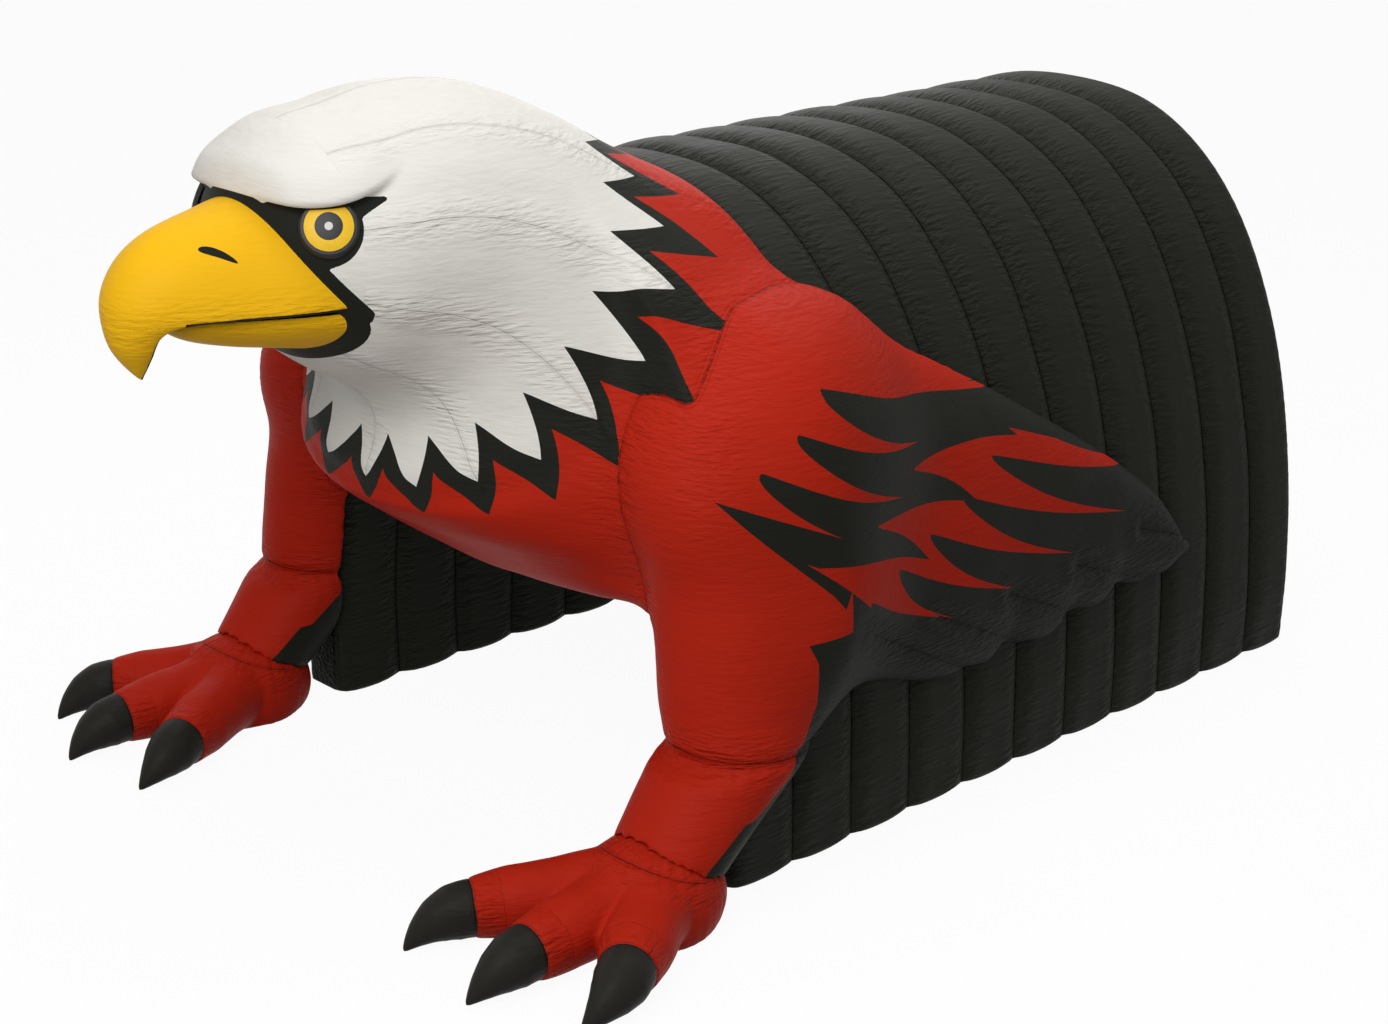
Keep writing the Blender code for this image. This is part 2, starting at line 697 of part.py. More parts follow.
def add_foot(side, finishes, parent):
    """One chamber with three toes, flat underneath, and a talon sewn to each toe."""
    ankle = Vector((side * LEG_CENTRE, -ANKLE_REACH, ANKLE_HEIGHT / 2))
    axes = (Vector((0, 0, 1)), Vector((1, 0, 0)), Vector((0, 1, 0)))
    centre = ankle - Vector((0, FOOT_LENGTH / 6, 0))
    radii = (FOOT_HEIGHT - ANKLE_HEIGHT / 2, FOOT_WIDTH / 2, FOOT_LENGTH / 2)
    foot = add_ball(side_name("foot", side), centre, axes, radii, 7, 20, finishes["red"], parent)
    toes = []
    for toe in TOE_PLACE_SHARES:
        start, end = toe_path(side, toe)
        along = (end - start).normalized()
        across = along.cross(Vector((0, 0, 1))).normalized()
        up = across.cross(along)
        rings = []
        for share, width in TOE_ROW_SHARES:
            half = (TOE_THICKNESS + (TOE_TIP_THICKNESS - TOE_THICKNESS) * width) / 2
            rings.append(ellipse(start.lerp(end, share), across, up, half, half, half, 14))
        toes.append(lofted(f"{foot.name}_{toe}_toe", rings, finishes["red"], parent))
        add_talon(side, toe, end, along, finishes["talon"], parent)
    joined(foot, *toes)
    reach = FOOT_LENGTH * 2
    floor = block(
        side_name("floor_cut", side),
        (ankle.x - reach, ankle.y - reach, -FOOT_HEIGHT),
        (ankle.x + reach, ankle.y + reach, 0),
        finishes["red"],
        parent,
    )
    return settled(cut(foot, helper(floor)))


def add_talon(side, toe, joint, toe_along, finish, parent):
    base = joint + toe_along * SEAM_GAP
    forward = Vector((side * TALON_TURN_SHARES[toe], -1, 0)).normalized()
    tip = base + forward * TALON_LENGTH
    tip.z = TALON_TIP
    knuckle = base + toe_along * TALON_LENGTH * TALON_ARCH_SHARE
    rings = []
    for share, width in TALON_ROW_SHARES:
        point = base.lerp(knuckle, share).lerp(knuckle.lerp(tip, share), share)
        turned = toe_along.lerp((tip - knuckle).normalized(), share).normalized()
        across = turned.cross(Vector((0, 0, 1))).normalized()
        half = width * TOE_TIP_THICKNESS / 2
        rings.append(ellipse(point, across, across.cross(turned), half, half, half, 12))
    lofted(side_name(f"talon_{toe}", side), rings, finish, parent, end=tip)


def wing_heights(along_share):
    """Upper and lower edge of the wing at a share of its length."""
    places, tops, feet = zip(*WING_EDGE_SHARES)
    rise = WING_TOP - WING_FOOT
    return (
        WING_FOOT + rise * float(np.interp(along_share, places, feet)),
        WING_FOOT + rise * float(np.interp(along_share, places, tops)),
    )


def add_wing(side, finishes, cutters, parent):
    """Three padded bands along the tunnel's flank. Returns a cutter of each for the mantle."""
    colours = {"primaries": "black", "secondaries": "black", "coverts": "red"}
    made = []
    for band, (low, high) in WING_BAND_SHARES.items():
        rings = []
        for along, _, _ in WING_EDGE_SHARES:
            foot, top = wing_heights(along)
            y = WING_START + along * WING_LENGTH
            swell = WING_THICKNESS * (1 - WING_TAPER_SHARE * along)
            trim = SEAM_GAP / (top - foot)
            ring = []
            for step, puff in enumerate(WING_PUFF_SHARES):
                across = low + trim + (high - low - 2 * trim) * step / (len(WING_PUFF_SHARES) - 1)
                dome = sqrt(1 - WING_DOME_SHARE * (2 * across - 1) ** 2)
                share = share_at_height(foot + (top - foot) * across, side)
                ring.append(on_arch(share, OUTER_BULGE + swell * puff * dome, y))
            for across in (high - trim, (low + high) / 2, low + trim):
                share = share_at_height(foot + (top - foot) * across, side)
                ring.append(on_arch(share, OUTER_BULGE - WING_SINK, y))
            rings.append(ring)
        along, rise = WING_TIP_SHARE
        slope = (low + high) / 2 - 0.5
        height = WING_FOOT + (WING_TOP - WING_FOOT) * (rise + slope * WING_TIP_SPREAD_SHARE)
        tip = on_arch(share_at_height(height, side), OUTER_BULGE, WING_START + along * WING_LENGTH)
        wing = lofted(side_name(f"wing_{band}", side), rings, finishes[colours[band]], parent, end=tip)
        made.append(grown(wing))
        settled(cut(wing, *cutters))
    return made


def add_eyes(head_cutter, finishes, parent):
    for side in (1, -1):
        across, along, rise = EYE_PLACE_SHARE
        place = Vector((side * across * BODY_WIDTH / 2, along * BODY_LENGTH, BELLY_HEIGHT + rise * BODY_RISE))
        out = Vector((side * EYE_FACING_SHARE[0], EYE_FACING_SHARE[1], EYE_FACING_SHARE[2])).normalized()
        back = out.cross(Vector((0, 0, 1))).normalized()
        axes = (out, back, out.cross(back))
        radii = (EYE_DOME, EYE_RADIUS, EYE_RADIUS)
        eye = add_ball(side_name("eye", side), place, axes, radii, 8, 18, finishes["iris"], parent)
        settled(cut(eye, head_cutter))


def rod_x(name, ends, axle, radius, finish, parent, sides=24):
    """A round bar along X between two x places, centred on an axle."""
    start, end = (Vector((x, axle.y, axle.z)) for x in ends)
    return rod(name, start, end, radius, finish, parent, sides)


def hoop(name, start, end, radius, wall, finish, parent, sides=24):
    """A round bar with its middle bored out."""
    band = rod(name, start, end, radius, finish, parent, sides)
    over = (Vector(end) - Vector(start)).normalized() * OVERRUN
    bore = rod(name + "_bore", Vector(start) - over, Vector(end) + over, radius - wall, finish, parent, sides)
    return cut(band, helper(bore))


def radial_bar(name, ends, axle, turn, reach, width, finish, parent):
    """A square bar that lies across an axle at an angle, from one radius to another."""
    out = Vector((0, cos(turn), sin(turn)))
    side = Vector((1, 0, 0)).cross(out) * (width / 2)
    corners = [out * r + side * s for r, s in zip(reach + reach[::-1], (-1, -1, 1, 1))]
    rings = [[Vector((x, axle.y, axle.z)) + corner for corner in corners] for x in ends]
    return lofted(name, rings, finish, parent)


def scroll_outline(centre, shell):
    """Side view of the blower: a spiral that opens into the outlet duct along -Y."""
    y, z = centre
    reach = BLOWER_RADIUS - shell
    ring = []
    for step in range(SCROLL_STEPS + 1):
        share = step / SCROLL_STEPS
        turn = radians(SCROLL_START + (270 - SCROLL_START) * share)
        radius = BLOWER_CUTOFF + (BLOWER_RADIUS - BLOWER_CUTOFF) * share - shell
        ring.append((y - cos(turn) * radius, z + sin(turn) * radius))
    ring.append((y - reach, z - reach))
    ring.append((y - reach, z + sin(radians(SCROLL_START)) * BLOWER_CUTOFF - shell))
    return ring


def add_scroll(name, axle, shell, finish, parent):
    half = BLOWER_DEPTH / 2 - shell
    outline = scroll_outline((axle.y, axle.z), shell)
    rings = [[Vector((x, y, z)) for y, z in outline] for x in (axle.x - half, axle.x + half)]
    return lofted(name, rings, finish, parent)


def add_blower(finishes, parent):
    """A scroll blower on skids, in line with the right wall, that blows into the last rib."""
    plastic = finishes["plastic"]
    mouth_y = TUNNEL_LENGTH + SLEEVE_LENGTH
    duct_y = mouth_y + OUTLET_LENGTH
    axle = Vector((-(HALF - WALL / 2), duct_y + BLOWER_RADIUS, SKID_HEIGHT + SEAM_GAP + BLOWER_RADIUS))
    duct_depth = (BLOWER_RADIUS - sin(radians(SCROLL_START)) * BLOWER_CUTOFF) / 2
    mouth = Vector((axle.x, mouth_y, axle.z - duct_depth))
    half = BLOWER_DEPTH / 2
    wall = half - BLOWER_SHELL
    housing = add_scroll("blower_housing", axle, 0.0, plastic, parent)
    shell_cutter = grown(housing)
    root = Vector((mouth.x, duct_y + BLOWER_SHELL / 2, mouth.z))
    joined(housing, rod("spigot", mouth, root, OUTLET_RADIUS, plastic, parent))
    cavity = add_scroll("cavity", axle, BLOWER_SHELL, plastic, parent)
    over = Vector((0, OVERRUN, 0))
    bore = rod("bore", mouth - over, root + over, OUTLET_RADIUS - BLOWER_SHELL, plastic, parent)
    inlet_ends = (axle.x - half - OVERRUN, axle.x - wall + OVERRUN)
    inlet = rod_x("inlet", inlet_ends, axle, INLET_RADIUS, plastic, parent, 32)
    shaft_ends = (axle.x + half + OVERRUN, axle.x + wall - OVERRUN)
    shaft_hole = rod_x("shaft_hole", shaft_ends, axle, SHAFT_RADIUS + BLOWER_SHELL, plastic, parent, 16)
    hollow = settled(joined(cavity, bore, inlet, shaft_hole))
    settled(cut(housing, helper(hollow)))
    add_impeller(axle, finishes["steel"], parent)
    add_motor(axle, half, finishes["talon"], parent)
    add_grille(axle, half, finishes["talon"], parent)
    add_skids(axle, half, finishes["talon"], parent)
    add_handle(axle, shell_cutter, finishes["talon"], parent)
    add_terminal_box(axle, half, finishes["talon"], parent)
    add_sleeve(mouth, finishes, parent)


def add_impeller(axle, steel, parent):
    """A drum of blades between a back plate and a front ring, on a bored hub."""
    back = axle.x + IMPELLER_DEPTH / 2
    front = axle.x - IMPELLER_DEPTH / 2
    plate = rod_x("blower_impeller", (back - IMPELLER_PLATE, back), axle, IMPELLER_RADIUS, steel, parent, 32)
    hub = rod_x("hub", (back - HUB_LENGTH, back), axle, HUB_RADIUS, steel, parent, 16)
    ring_start = Vector((front, axle.y, axle.z))
    ring_end = ring_start + Vector((IMPELLER_PLATE, 0, 0))
    ring = hoop("ring", ring_start, ring_end, IMPELLER_RADIUS, BLADE_DEPTH, steel, parent, 32)
    parts = [hub, ring]
    ends = (front + IMPELLER_PLATE / 2, back - IMPELLER_PLATE / 2)
    reach = (IMPELLER_RADIUS - BLADE_DEPTH, IMPELLER_RADIUS - IMPELLER_PLATE)
    for number in range(IMPELLER_BLADES):
        turn = 2 * pi * (number + 0.5) / IMPELLER_BLADES
        parts.append(radial_bar(f"blade_{number}", ends, axle, turn, reach, BLADE_THICKNESS, steel, parent))
    joined(plate, *parts)
    bore_ends = (back - HUB_LENGTH - OVERRUN, back + OVERRUN)
    bore = rod_x("hub_bore", bore_ends, axle, SHAFT_RADIUS + RUNNING_CLEARANCE, steel, parent, 16)
    settled(cut(plate, helper(bore)))


def add_motor(axle, half, finish, parent):
    """The motor case on the side plate, with its shaft reaching into the hub."""
    face = axle.x + half + SEAM_GAP
    case = rod_x("blower_motor", (face, face + MOTOR_LENGTH), axle, MOTOR_RADIUS, finish, parent)
    flange = rod_x("flange", (face, face + BLOWER_SHELL), axle, MOTOR_RADIUS + MOTOR_FLANGE, finish, parent)
    shaft_end = axle.x + IMPELLER_DEPTH / 2 - HUB_LENGTH
    shaft = rod_x("shaft", (shaft_end, face + MOTOR_LENGTH / 2), axle, SHAFT_RADIUS, finish, parent, 16)
    settled(joined(case, flange, shaft))


def add_grille(axle, half, finish, parent):
    """The finger guard over the air inlet: rings on spokes."""
    outside = axle.x - half - SEAM_GAP
    ends = (outside - GRILLE_THICKNESS, outside)
    start, end = (Vector((x, axle.y, axle.z)) for x in ends)
    widest = INLET_RADIUS + GRILLE_RIM
    grille = hoop("inlet_grille", start, end, widest, GRILLE_RIM, finish, parent)
    parts = []
    for number in range(1, GRILLE_RINGS + 1):
        radius = (widest - GRILLE_RIM) * number / (GRILLE_RINGS + 1)
        parts.append(hoop(f"band_{number}", start, end, radius, GRILLE_BAR, finish, parent, 20))
    reach = (GRILLE_BAR - widest, widest - GRILLE_BAR)
    for number in range(GRILLE_SPOKES):
        turn = pi * number / GRILLE_SPOKES
        parts.append(radial_bar(f"spoke_{number}", ends, axle, turn, reach, GRILLE_BAR, finish, parent))
    settled(joined(grille, *parts))


def add_skids(axle, half, finish, parent):
    """Two runners and two cross bars that hold the scroll off the ground."""
    parts = []
    for side, name in ((1, "blower_skids"), (-1, "far_runner")):
        x = axle.x + side * (half - SKID_WIDTH / 2)
        low = (x - SKID_WIDTH / 2, axle.y - SKID_LENGTH / 2, 0)
        high = (x + SKID_WIDTH / 2, axle.y + SKID_LENGTH / 2, SKID_HEIGHT)
        parts.append(block(name, low, high, finish, parent))
    inner = half - SKID_WIDTH / 2
    for place in (-1, 1):
        y = axle.y + place * SKID_LENGTH / 4
        low = (axle.x - inner, y - SKID_WIDTH / 2, SKID_HEIGHT / 3)
        high = (axle.x + inner, y + SKID_WIDTH / 2, SKID_HEIGHT)
        parts.append(block(f"cross_bar_{place}", low, high, finish, parent))
    settled(joined(*parts))


def add_handle(axle, shell_cutter, finish, parent):
    """A carrying handle over the scroll, its two feet seated on the shell."""
    foot_z = axle.z + BLOWER_RADIUS * HANDLE_SEAT_SHARE
    top_z = axle.z + BLOWER_RADIUS + HANDLE_HEIGHT
    bend = HANDLE_BAR * 2
    half = HANDLE_LENGTH / 2
    path = [(-half, foot_z)]
    for turn in (180, 150, 120, 90):
        path.append((bend - half + bend * cos(radians(turn)), top_z - bend + bend * sin(radians(turn))))
    path += [(-y, z) for y, z in reversed(path)]
    points = [(axle.x, axle.y + y, z) for y, z in path]
    handle = tube_along("carry_handle", points, HANDLE_BAR, finish, parent)
    settled(cut(handle, shell_cutter))


def add_terminal_box(axle, half, finish, parent):
    """The box beside the motor that holds the rocker switch and the mains cable's gland."""
    face = axle.x + half + SEAM_GAP
    y = axle.y + MOTOR_RADIUS + MOTOR_FLANGE + BOX_WIDTH / 2 + BOX_CLEARANCE
    low = Vector((face, y - BOX_WIDTH / 2, axle.z - BOX_HEIGHT / 2))
    high = Vector((face + BOX_DEPTH, y + BOX_WIDTH / 2, axle.z + BOX_HEIGHT / 2))
    box = block("terminal_box", low, high, finish, parent)
    switch_z = axle.z + BOX_HEIGHT / 5
    slot_y = SWITCH_WIDTH / 2 + SWITCH_CLEARANCE
    slot_z = SWITCH_HEIGHT / 2 + SWITCH_CLEARANCE
    slot_low = (high.x - SWITCH_DEPTH, y - slot_y, switch_z - slot_z)
    slot_high = (high.x + OVERRUN, y + slot_y, switch_z + slot_z)
    settled(cut(box, helper(block("switch_slot", slot_low, slot_high, finish, parent))))
    add_rocker(Vector((high.x - SWITCH_DEPTH / 2, y, switch_z)), finish, parent)
    start = Vector((face + BOX_DEPTH / 2, y, low.z - SEAM_GAP))
    drop = Vector((0, 0, -GLAND_LENGTH))
    gland_tip = GLAND_RADIUS * GLAND_TIP_SHARE
    gland = rod("cable_gland", start, start + drop, GLAND_RADIUS, finish, parent, 12, gland_tip)
    hole_end = start + drop - Vector((0, 0, OVERRUN))
    hole = rod("gland_hole", start + drop / 2, hole_end, GLAND_RADIUS / 2, finish, parent, 12)
    settled(cut(gland, helper(hole)))


def add_rocker(pivot, finish, parent):
    """The rocker, tilted to its off side, with a dished face."""
    tilt = radians(SWITCH_TILT)
    half = SWITCH_HEIGHT / 2
    profile = [(across * SWITCH_DEPTH, up * half) for across, up in ROCKER_OUTLINE_SHARES]
    turned = [(x * cos(tilt) - z * sin(tilt), x * sin(tilt) + z * cos(tilt)) for x, z in profile]
    rings = []
    for y in (-SWITCH_WIDTH / 2, SWITCH_WIDTH / 2):
        rings.append([pivot + Vector((x, y, z)) for x, z in turned])
    lofted("switch_rocker", rings, finish, parent)


def add_sleeve(mouth, finishes, parent):
    """The fabric sleeve from the last rib, drawn over the blower's spigot and strapped there."""
    inside = OUTLET_RADIUS + SEAM_GAP
    outside = inside + SLEEVE_WALL
    along = Vector((0, 1, 0))
    across, up = Vector((1, 0, 0)), Vector((0, 0, 1))
    start = Vector((mouth.x, TUNNEL_LENGTH, mouth.z))
    lap = OUTLET_LENGTH * SLEEVE_LAP_SHARE
    rings, bores = [], []
    for share, flare in SLEEVE_ROW_SHARES:
        middle = start + along * ((SLEEVE_LENGTH + lap) * share)
        wide = flare * SLEEVE_FLARE
        drop = min(flare, SLEEVE_DROP_SHARE) * SLEEVE_FLARE
        rings.append(ellipse(middle, across, up, outside + wide, outside + wide, outside + drop, 24))
        bores.append(ellipse(middle, across, up, inside + wide, inside + wide, inside + drop, 24))
    bores[0] = [point - along * OVERRUN for point in bores[0]]
    bores[-1] = [point + along * OVERRUN for point in bores[-1]]
    sleeve = lofted("inflation_sleeve", rings, finishes["black"], parent)
    bore = lofted("sleeve_bore", bores, finishes["black"], parent)
    settled(cut(sleeve, helper(bore)))
    place = mouth + along * (lap / 2)
    half = along * (STRAP_WIDTH / 2)
    radius = outside + SEAM_GAP * 2 + STRAP_THICKNESS
    ends = (place - half, place + half)
    settled(hoop("sleeve_strap", *ends, radius, STRAP_THICKNESS, finishes["red"], parent))


def add_zip(finishes, parent):
    """The deflation zip, sewn up the rear face of the left wall, with its slider at the top."""
    black, steel = finishes["black"], finishes["steel"]
    face = FLAT_REAR + SEAM_GAP * 2
    cloth = face + ZIP_TAPE_THICKNESS
    x = HALF - WALL / 2
    head = ZIP_FOOT + ZIP_LENGTH
    margin = ZIP_TAPE_WIDTH / 4
    tape_low, tape_high = (x - ZIP_TAPE_WIDTH / 2, face, ZIP_FOOT), (x + ZIP_TAPE_WIDTH / 2, cloth, head)
    tape = block("zip_tape", tape_low, tape_high, black, parent)
    chain_low = (x - ZIP_CHAIN_WIDTH / 2, face + ZIP_TAPE_THICKNESS / 2, ZIP_FOOT + margin)
    chain_high = (x + ZIP_CHAIN_WIDTH / 2, cloth + ZIP_CHAIN_THICKNESS, head - margin)
    settled(joined(tape, block("chain", chain_low, chain_high, black, parent)))
    top = head - margin * 2
    seat = cloth + RUNNING_CLEARANCE
    crown = seat + ZIP_CHAIN_THICKNESS + SLIDER_THICKNESS
    slider_low = (x - SLIDER_WIDTH / 2, seat, top - SLIDER_LENGTH)
    slider_high = (x + SLIDER_WIDTH / 2, crown, top)
    slider = block("zip_slider", slider_low, slider_high, steel, parent)
    groove_x = ZIP_CHAIN_WIDTH / 2 + RUNNING_CLEARANCE
    groove_low = (x - groove_x, seat - OVERRUN, top - SLIDER_LENGTH - OVERRUN)
    groove_high = (x + groove_x, cloth + ZIP_CHAIN_THICKNESS + RUNNING_CLEARANCE, top + OVERRUN)
    groove = block("slider_groove", groove_low, groove_high, steel, parent)
    pin = Vector((x, crown + PULL_THICKNESS * 1.5, top - SLIDER_LENGTH / 3))
    ear_z = PULL_THICKNESS * 1.5
    ear_low = (x - PULL_WIDTH / 4, crown - SLIDER_THICKNESS / 2, pin.z - ear_z)
    ear_high = (x + PULL_WIDTH / 4, crown + PULL_THICKNESS * 3, pin.z + ear_z)
    joined(slider, block("slider_ear", ear_low, ear_high, steel, parent))
    hole_radius = PULL_THICKNESS / 2 + RUNNING_CLEARANCE
    hole = rod_x("slider_eye", (x - PULL_WIDTH, x + PULL_WIDTH), pin, hole_radius, steel, parent, 12)
    settled(cut(slider, helper(groove), helper(hole)))
    add_pull(pin, steel, parent)


def add_pull(pin, finish, parent):
    """The slider's pull: a pin through the ear, two side bars and a flat grip below."""
    half = PULL_WIDTH / 2
    thick = PULL_THICKNESS / 2
    neck = PULL_THICKNESS * 3.5
    reach = half - thick / 2
    pull = rod_x("zip_pull", (pin.x - reach, pin.x + reach), pin, thick, finish, parent, 10)
    parts = []
    for side in (1, -1):
        low = pin + Vector((side * reach - thick / 2, -thick, -neck))
        high = pin + Vector((side * reach + thick / 2, thick, thick))
        parts.append(block(f"pull_bar_{side}", low, high, finish, parent))
    low, high = pin + Vector((-half, -thick, -PULL_LENGTH)), pin + Vector((half, thick, thick - neck))
    settled(joined(pull, *parts, block("pull_grip", low, high, finish, parent)))


def add_tie_downs(finishes, parent):
    """A sewn tab near the foot of each rear corner, with a steel ring in its loop."""
    black, face = finishes["black"], FLAT_REAR + SEAM_GAP * 2
    radius = RING_WIRE + RING_CLEARANCE
    reach = Vector((RING_WIDTH / 2 - RING_WIRE * 2 - RING_CLEARANCE, 0, 0))
    for side in (1, -1):
        middle = Vector((side * (HALF - WALL / 2), face + radius + LOOP_WALL, TAB_ABOVE_FLOOR))
        low = (middle.x - TAB_WIDTH / 2, face, middle.z)
        high = (middle.x + TAB_WIDTH / 2, face + TAB_THICKNESS, middle.z + TAB_HEIGHT)
        tab = block(side_name("tie_tab", side), low, high, black, parent)
        loop_radius = radius + LOOP_WALL
        loop = rod(f"loop_{side}", middle - reach, middle + reach, loop_radius, black, parent, 16)
        hole_reach = reach * 2
        hole = rod(f"loop_hole_{side}", middle - hole_reach, middle + hole_reach, radius, black, parent, 16)
        settled(cut(joined(tab, loop), helper(hole)))
        add_ring(side, middle, finishes["steel"], parent)


def add_ring(side, middle, finish, parent):
    """A D-shaped steel ring: a straight bar in the loop and a round bow that hangs below."""
    half = RING_WIDTH / 2 - RING_WIRE
    path = [middle + Vector((share * half, 0, 0)) for share in (-1, 0, 1)]
    neck = RING_WIRE * 2
    drop = RING_HEIGHT - neck * 2
    for step in range(RING_STEPS + 1):
        turn = pi * step / RING_STEPS
        path.append(middle + Vector((half * cos(turn), 0, -neck - drop * sin(turn))))
    tube_along(side_name("tie_ring", side), path, RING_WIRE, finish, parent, 10, closed=True)


def add_frame():
    frame = bpy.data.objects.new("footprint_centre", None)
    bpy.context.scene.collection.objects.link(frame)
    return frame


def seat_on_origin(frame):
    """Moves the empty so that the middle of the footprint is the origin."""
    bpy.context.view_layer.update()
    graph = bpy.context.evaluated_depsgraph_get()
    low, high = Vector((1e9,) * 3), Vector((-1e9,) * 3)
    for made in bpy.context.scene.objects:
        if made.type != "MESH" or made.hide_render:
            continue
        solid = made.evaluated_get(graph)
        for corner in solid.bound_box:
            point = solid.matrix_world @ Vector(corner)
            low = Vector(map(min, low, point))
            high = Vector(map(max, high, point))
    frame.location = (-(low.x + high.x) / 2, -(low.y + high.y) / 2, -low.z)
    bpy.context.view_layer.update()


def clear_scene():
    for made in list(bpy.data.objects):
        bpy.data.objects.remove(made, do_unlink=True)


def main():
    clear_scene()
    finishes = {
        "red": material("red nylon", RED, 0.45),
        "black": material("black nylon", BLACK, 0.5),
        "white": material("white nylon", WHITE, 0.5),
        "yellow": material("yellow nylon", YELLOW, 0.45),
        "iris": material("eye vinyl", IRIS, 0.35),
        "talon": material("talon vinyl", TALON, 0.45),
        "plastic": material("blower plastic", PLASTIC, 0.4),
        "steel": material("steel", STEEL, 0.3, 1.0),
    }
    frame = add_frame()
    add_ribs(finishes["black"], frame)
    envelope = add_envelope(finishes["black"], frame)
    body_cutters = add_body(finishes, envelope, frame)
    add_beak(finishes, body_cutters[0], frame)
    add_eyes(body_cutters[0], finishes, frame)
    flank_cutters = []
    for side in (1, -1):
        foot = add_foot(side, finishes, frame)
        leg_cutter = add_leg(side, finishes, envelope, body_cutters, foot, frame)
        wing_cutters = add_wing(side, finishes, [envelope, leg_cutter, *body_cutters], frame)
        flank_cutters += [leg_cutter, *wing_cutters]
    add_mantle(finishes, [body_cutters[0], *flank_cutters], frame)
    add_blower(finishes, frame)
    add_zip(finishes, frame)
    add_tie_downs(finishes, frame)
    seat_on_origin(frame)


main()
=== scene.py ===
"""Inflatable sports tunnel with an eagle front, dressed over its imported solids.

Sewn air ribs, a puffed bird with stitched feather edges, and the blower and fittings at the back.
"""

import bpy
import numpy as np
from bpy.props import FloatProperty, FloatVectorProperty, IntProperty, PointerProperty
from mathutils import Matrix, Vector
from mathutils.bvhtree import BVHTree
from mathutils.kdtree import KDTree


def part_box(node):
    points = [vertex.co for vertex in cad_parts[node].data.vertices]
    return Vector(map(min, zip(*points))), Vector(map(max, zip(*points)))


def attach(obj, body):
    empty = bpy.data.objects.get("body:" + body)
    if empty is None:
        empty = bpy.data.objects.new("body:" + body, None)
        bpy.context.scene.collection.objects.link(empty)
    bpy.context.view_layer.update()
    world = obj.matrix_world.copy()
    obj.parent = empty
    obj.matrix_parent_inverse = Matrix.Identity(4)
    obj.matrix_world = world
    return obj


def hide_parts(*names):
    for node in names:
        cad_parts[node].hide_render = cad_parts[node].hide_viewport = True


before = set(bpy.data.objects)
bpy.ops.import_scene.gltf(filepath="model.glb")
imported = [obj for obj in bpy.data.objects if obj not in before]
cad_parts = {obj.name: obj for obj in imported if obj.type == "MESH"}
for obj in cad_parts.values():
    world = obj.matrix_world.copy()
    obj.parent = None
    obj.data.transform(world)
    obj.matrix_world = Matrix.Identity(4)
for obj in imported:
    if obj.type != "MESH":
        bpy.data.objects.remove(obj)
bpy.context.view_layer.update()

bl_info = {
    "name": "Inflatable sports tunnel",
    "blender": (4, 5, 0),
    "version": (1, 0, 0),
    "location": "View3D > Sidebar > Tunnel",
    "description": "Dresses the packed solids of an inflatable entrance tunnel",
    "category": "Object",
}

# The solids' own measures, in metres. y = 0 is the front face of the first rib here.
FRONT_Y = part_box("tunnel_rib_01")[0][1]
HALF, HEIGHT, POWER = 1.80, 3.23, 2.45
PITCH, RIBS = 0.4355, 11
WALL, OUTER, INNER = 0.31, 0.055, 0.04
LENGTH = PITCH * RIBS
BODY_LENGTH, BODY_RISE, BODY_WIDTH, BODY_DEPTH, BELLY = 1.56, 2.72, 2.76, 2.10, 1.24
BODY_ROWS = (
    (-0.981, 0.710, 0.010, 0.010, 0),
    (-0.949, 0.710, 0.217, 0.248, 0),
    (-0.833, 0.710, 0.391, 0.438, 0),
    (-0.673, 0.702, 0.507, 0.590, 2),
    (-0.481, 0.691, 0.572, 0.710, 6),
    (-0.301, 0.658, 0.630, 0.800, 18),
    (-0.141, 0.596, 0.717, 0.895, 34),
    (-0.019, 0.511, 0.833, 0.981, 48.5),
    (0.019, 0.434, 0.899, 0.933, 56),
    (0.032, 0.360, 0.942, 0.895, 64),
    (0.038, 0.287, 0.964, 0.800, 72),
    (0.032, 0.206, 0.964, 0.667, 80),
    (0.019, 0.125, 0.949, 0.438, 86),
    (0.000, 0.051, 0.870, 0.190, 90),
    (-0.006, 0.000, 0.010, 0.010, 90),
)
BEAK_LENGTH, BEAK_WIDTH, BEAK_HEIGHT, GAPE, JAW = 0.97, 1.18, 0.52, 2.955, 0.31
BEAK_ROWS = (
    (0.00, 1.000, 0.960, 0.00, 0, 0.0),
    (0.35, 0.857, 0.942, 0.00, 0, 0.0),
    (0.60, 0.679, 0.865, 0.00, 0, 0.0),
    (0.82, 0.536, 0.731, 0.02, -8, 0.01),
    (0.93, 0.429, 0.519, 0.05, -35, -0.01),
    (0.99, 0.321, 0.346, 0.07, -60, -0.10),
    (1.00, 0.196, 0.231, 0.07, -80, -0.30),
    (0.99, 0.010, 0.010, 0.01, -90, -0.56),
)
JAW_ROWS = (
    (-0.24, 0.985, 0.98),
    (0.00, 0.960, 0.95),
    (0.30, 0.815, 0.77),
    (0.60, 0.554, 0.58),
    (0.80, 0.339, 0.36),
    (0.89, 0.020, 0.04),
)
LEG_X, SHOULDER_TOP, SHOULDER_WIDTH, SHOULDER_DEPTH = 1.74, 2.80, 1.04, 1.44
KNEE_Y, KNEE_Z, KNEE_HALF = 0.085, 0.77, 0.36
ANKLE_Y, ANKLE_Z, ANKLE_HALF = -0.36, 0.30, 0.30
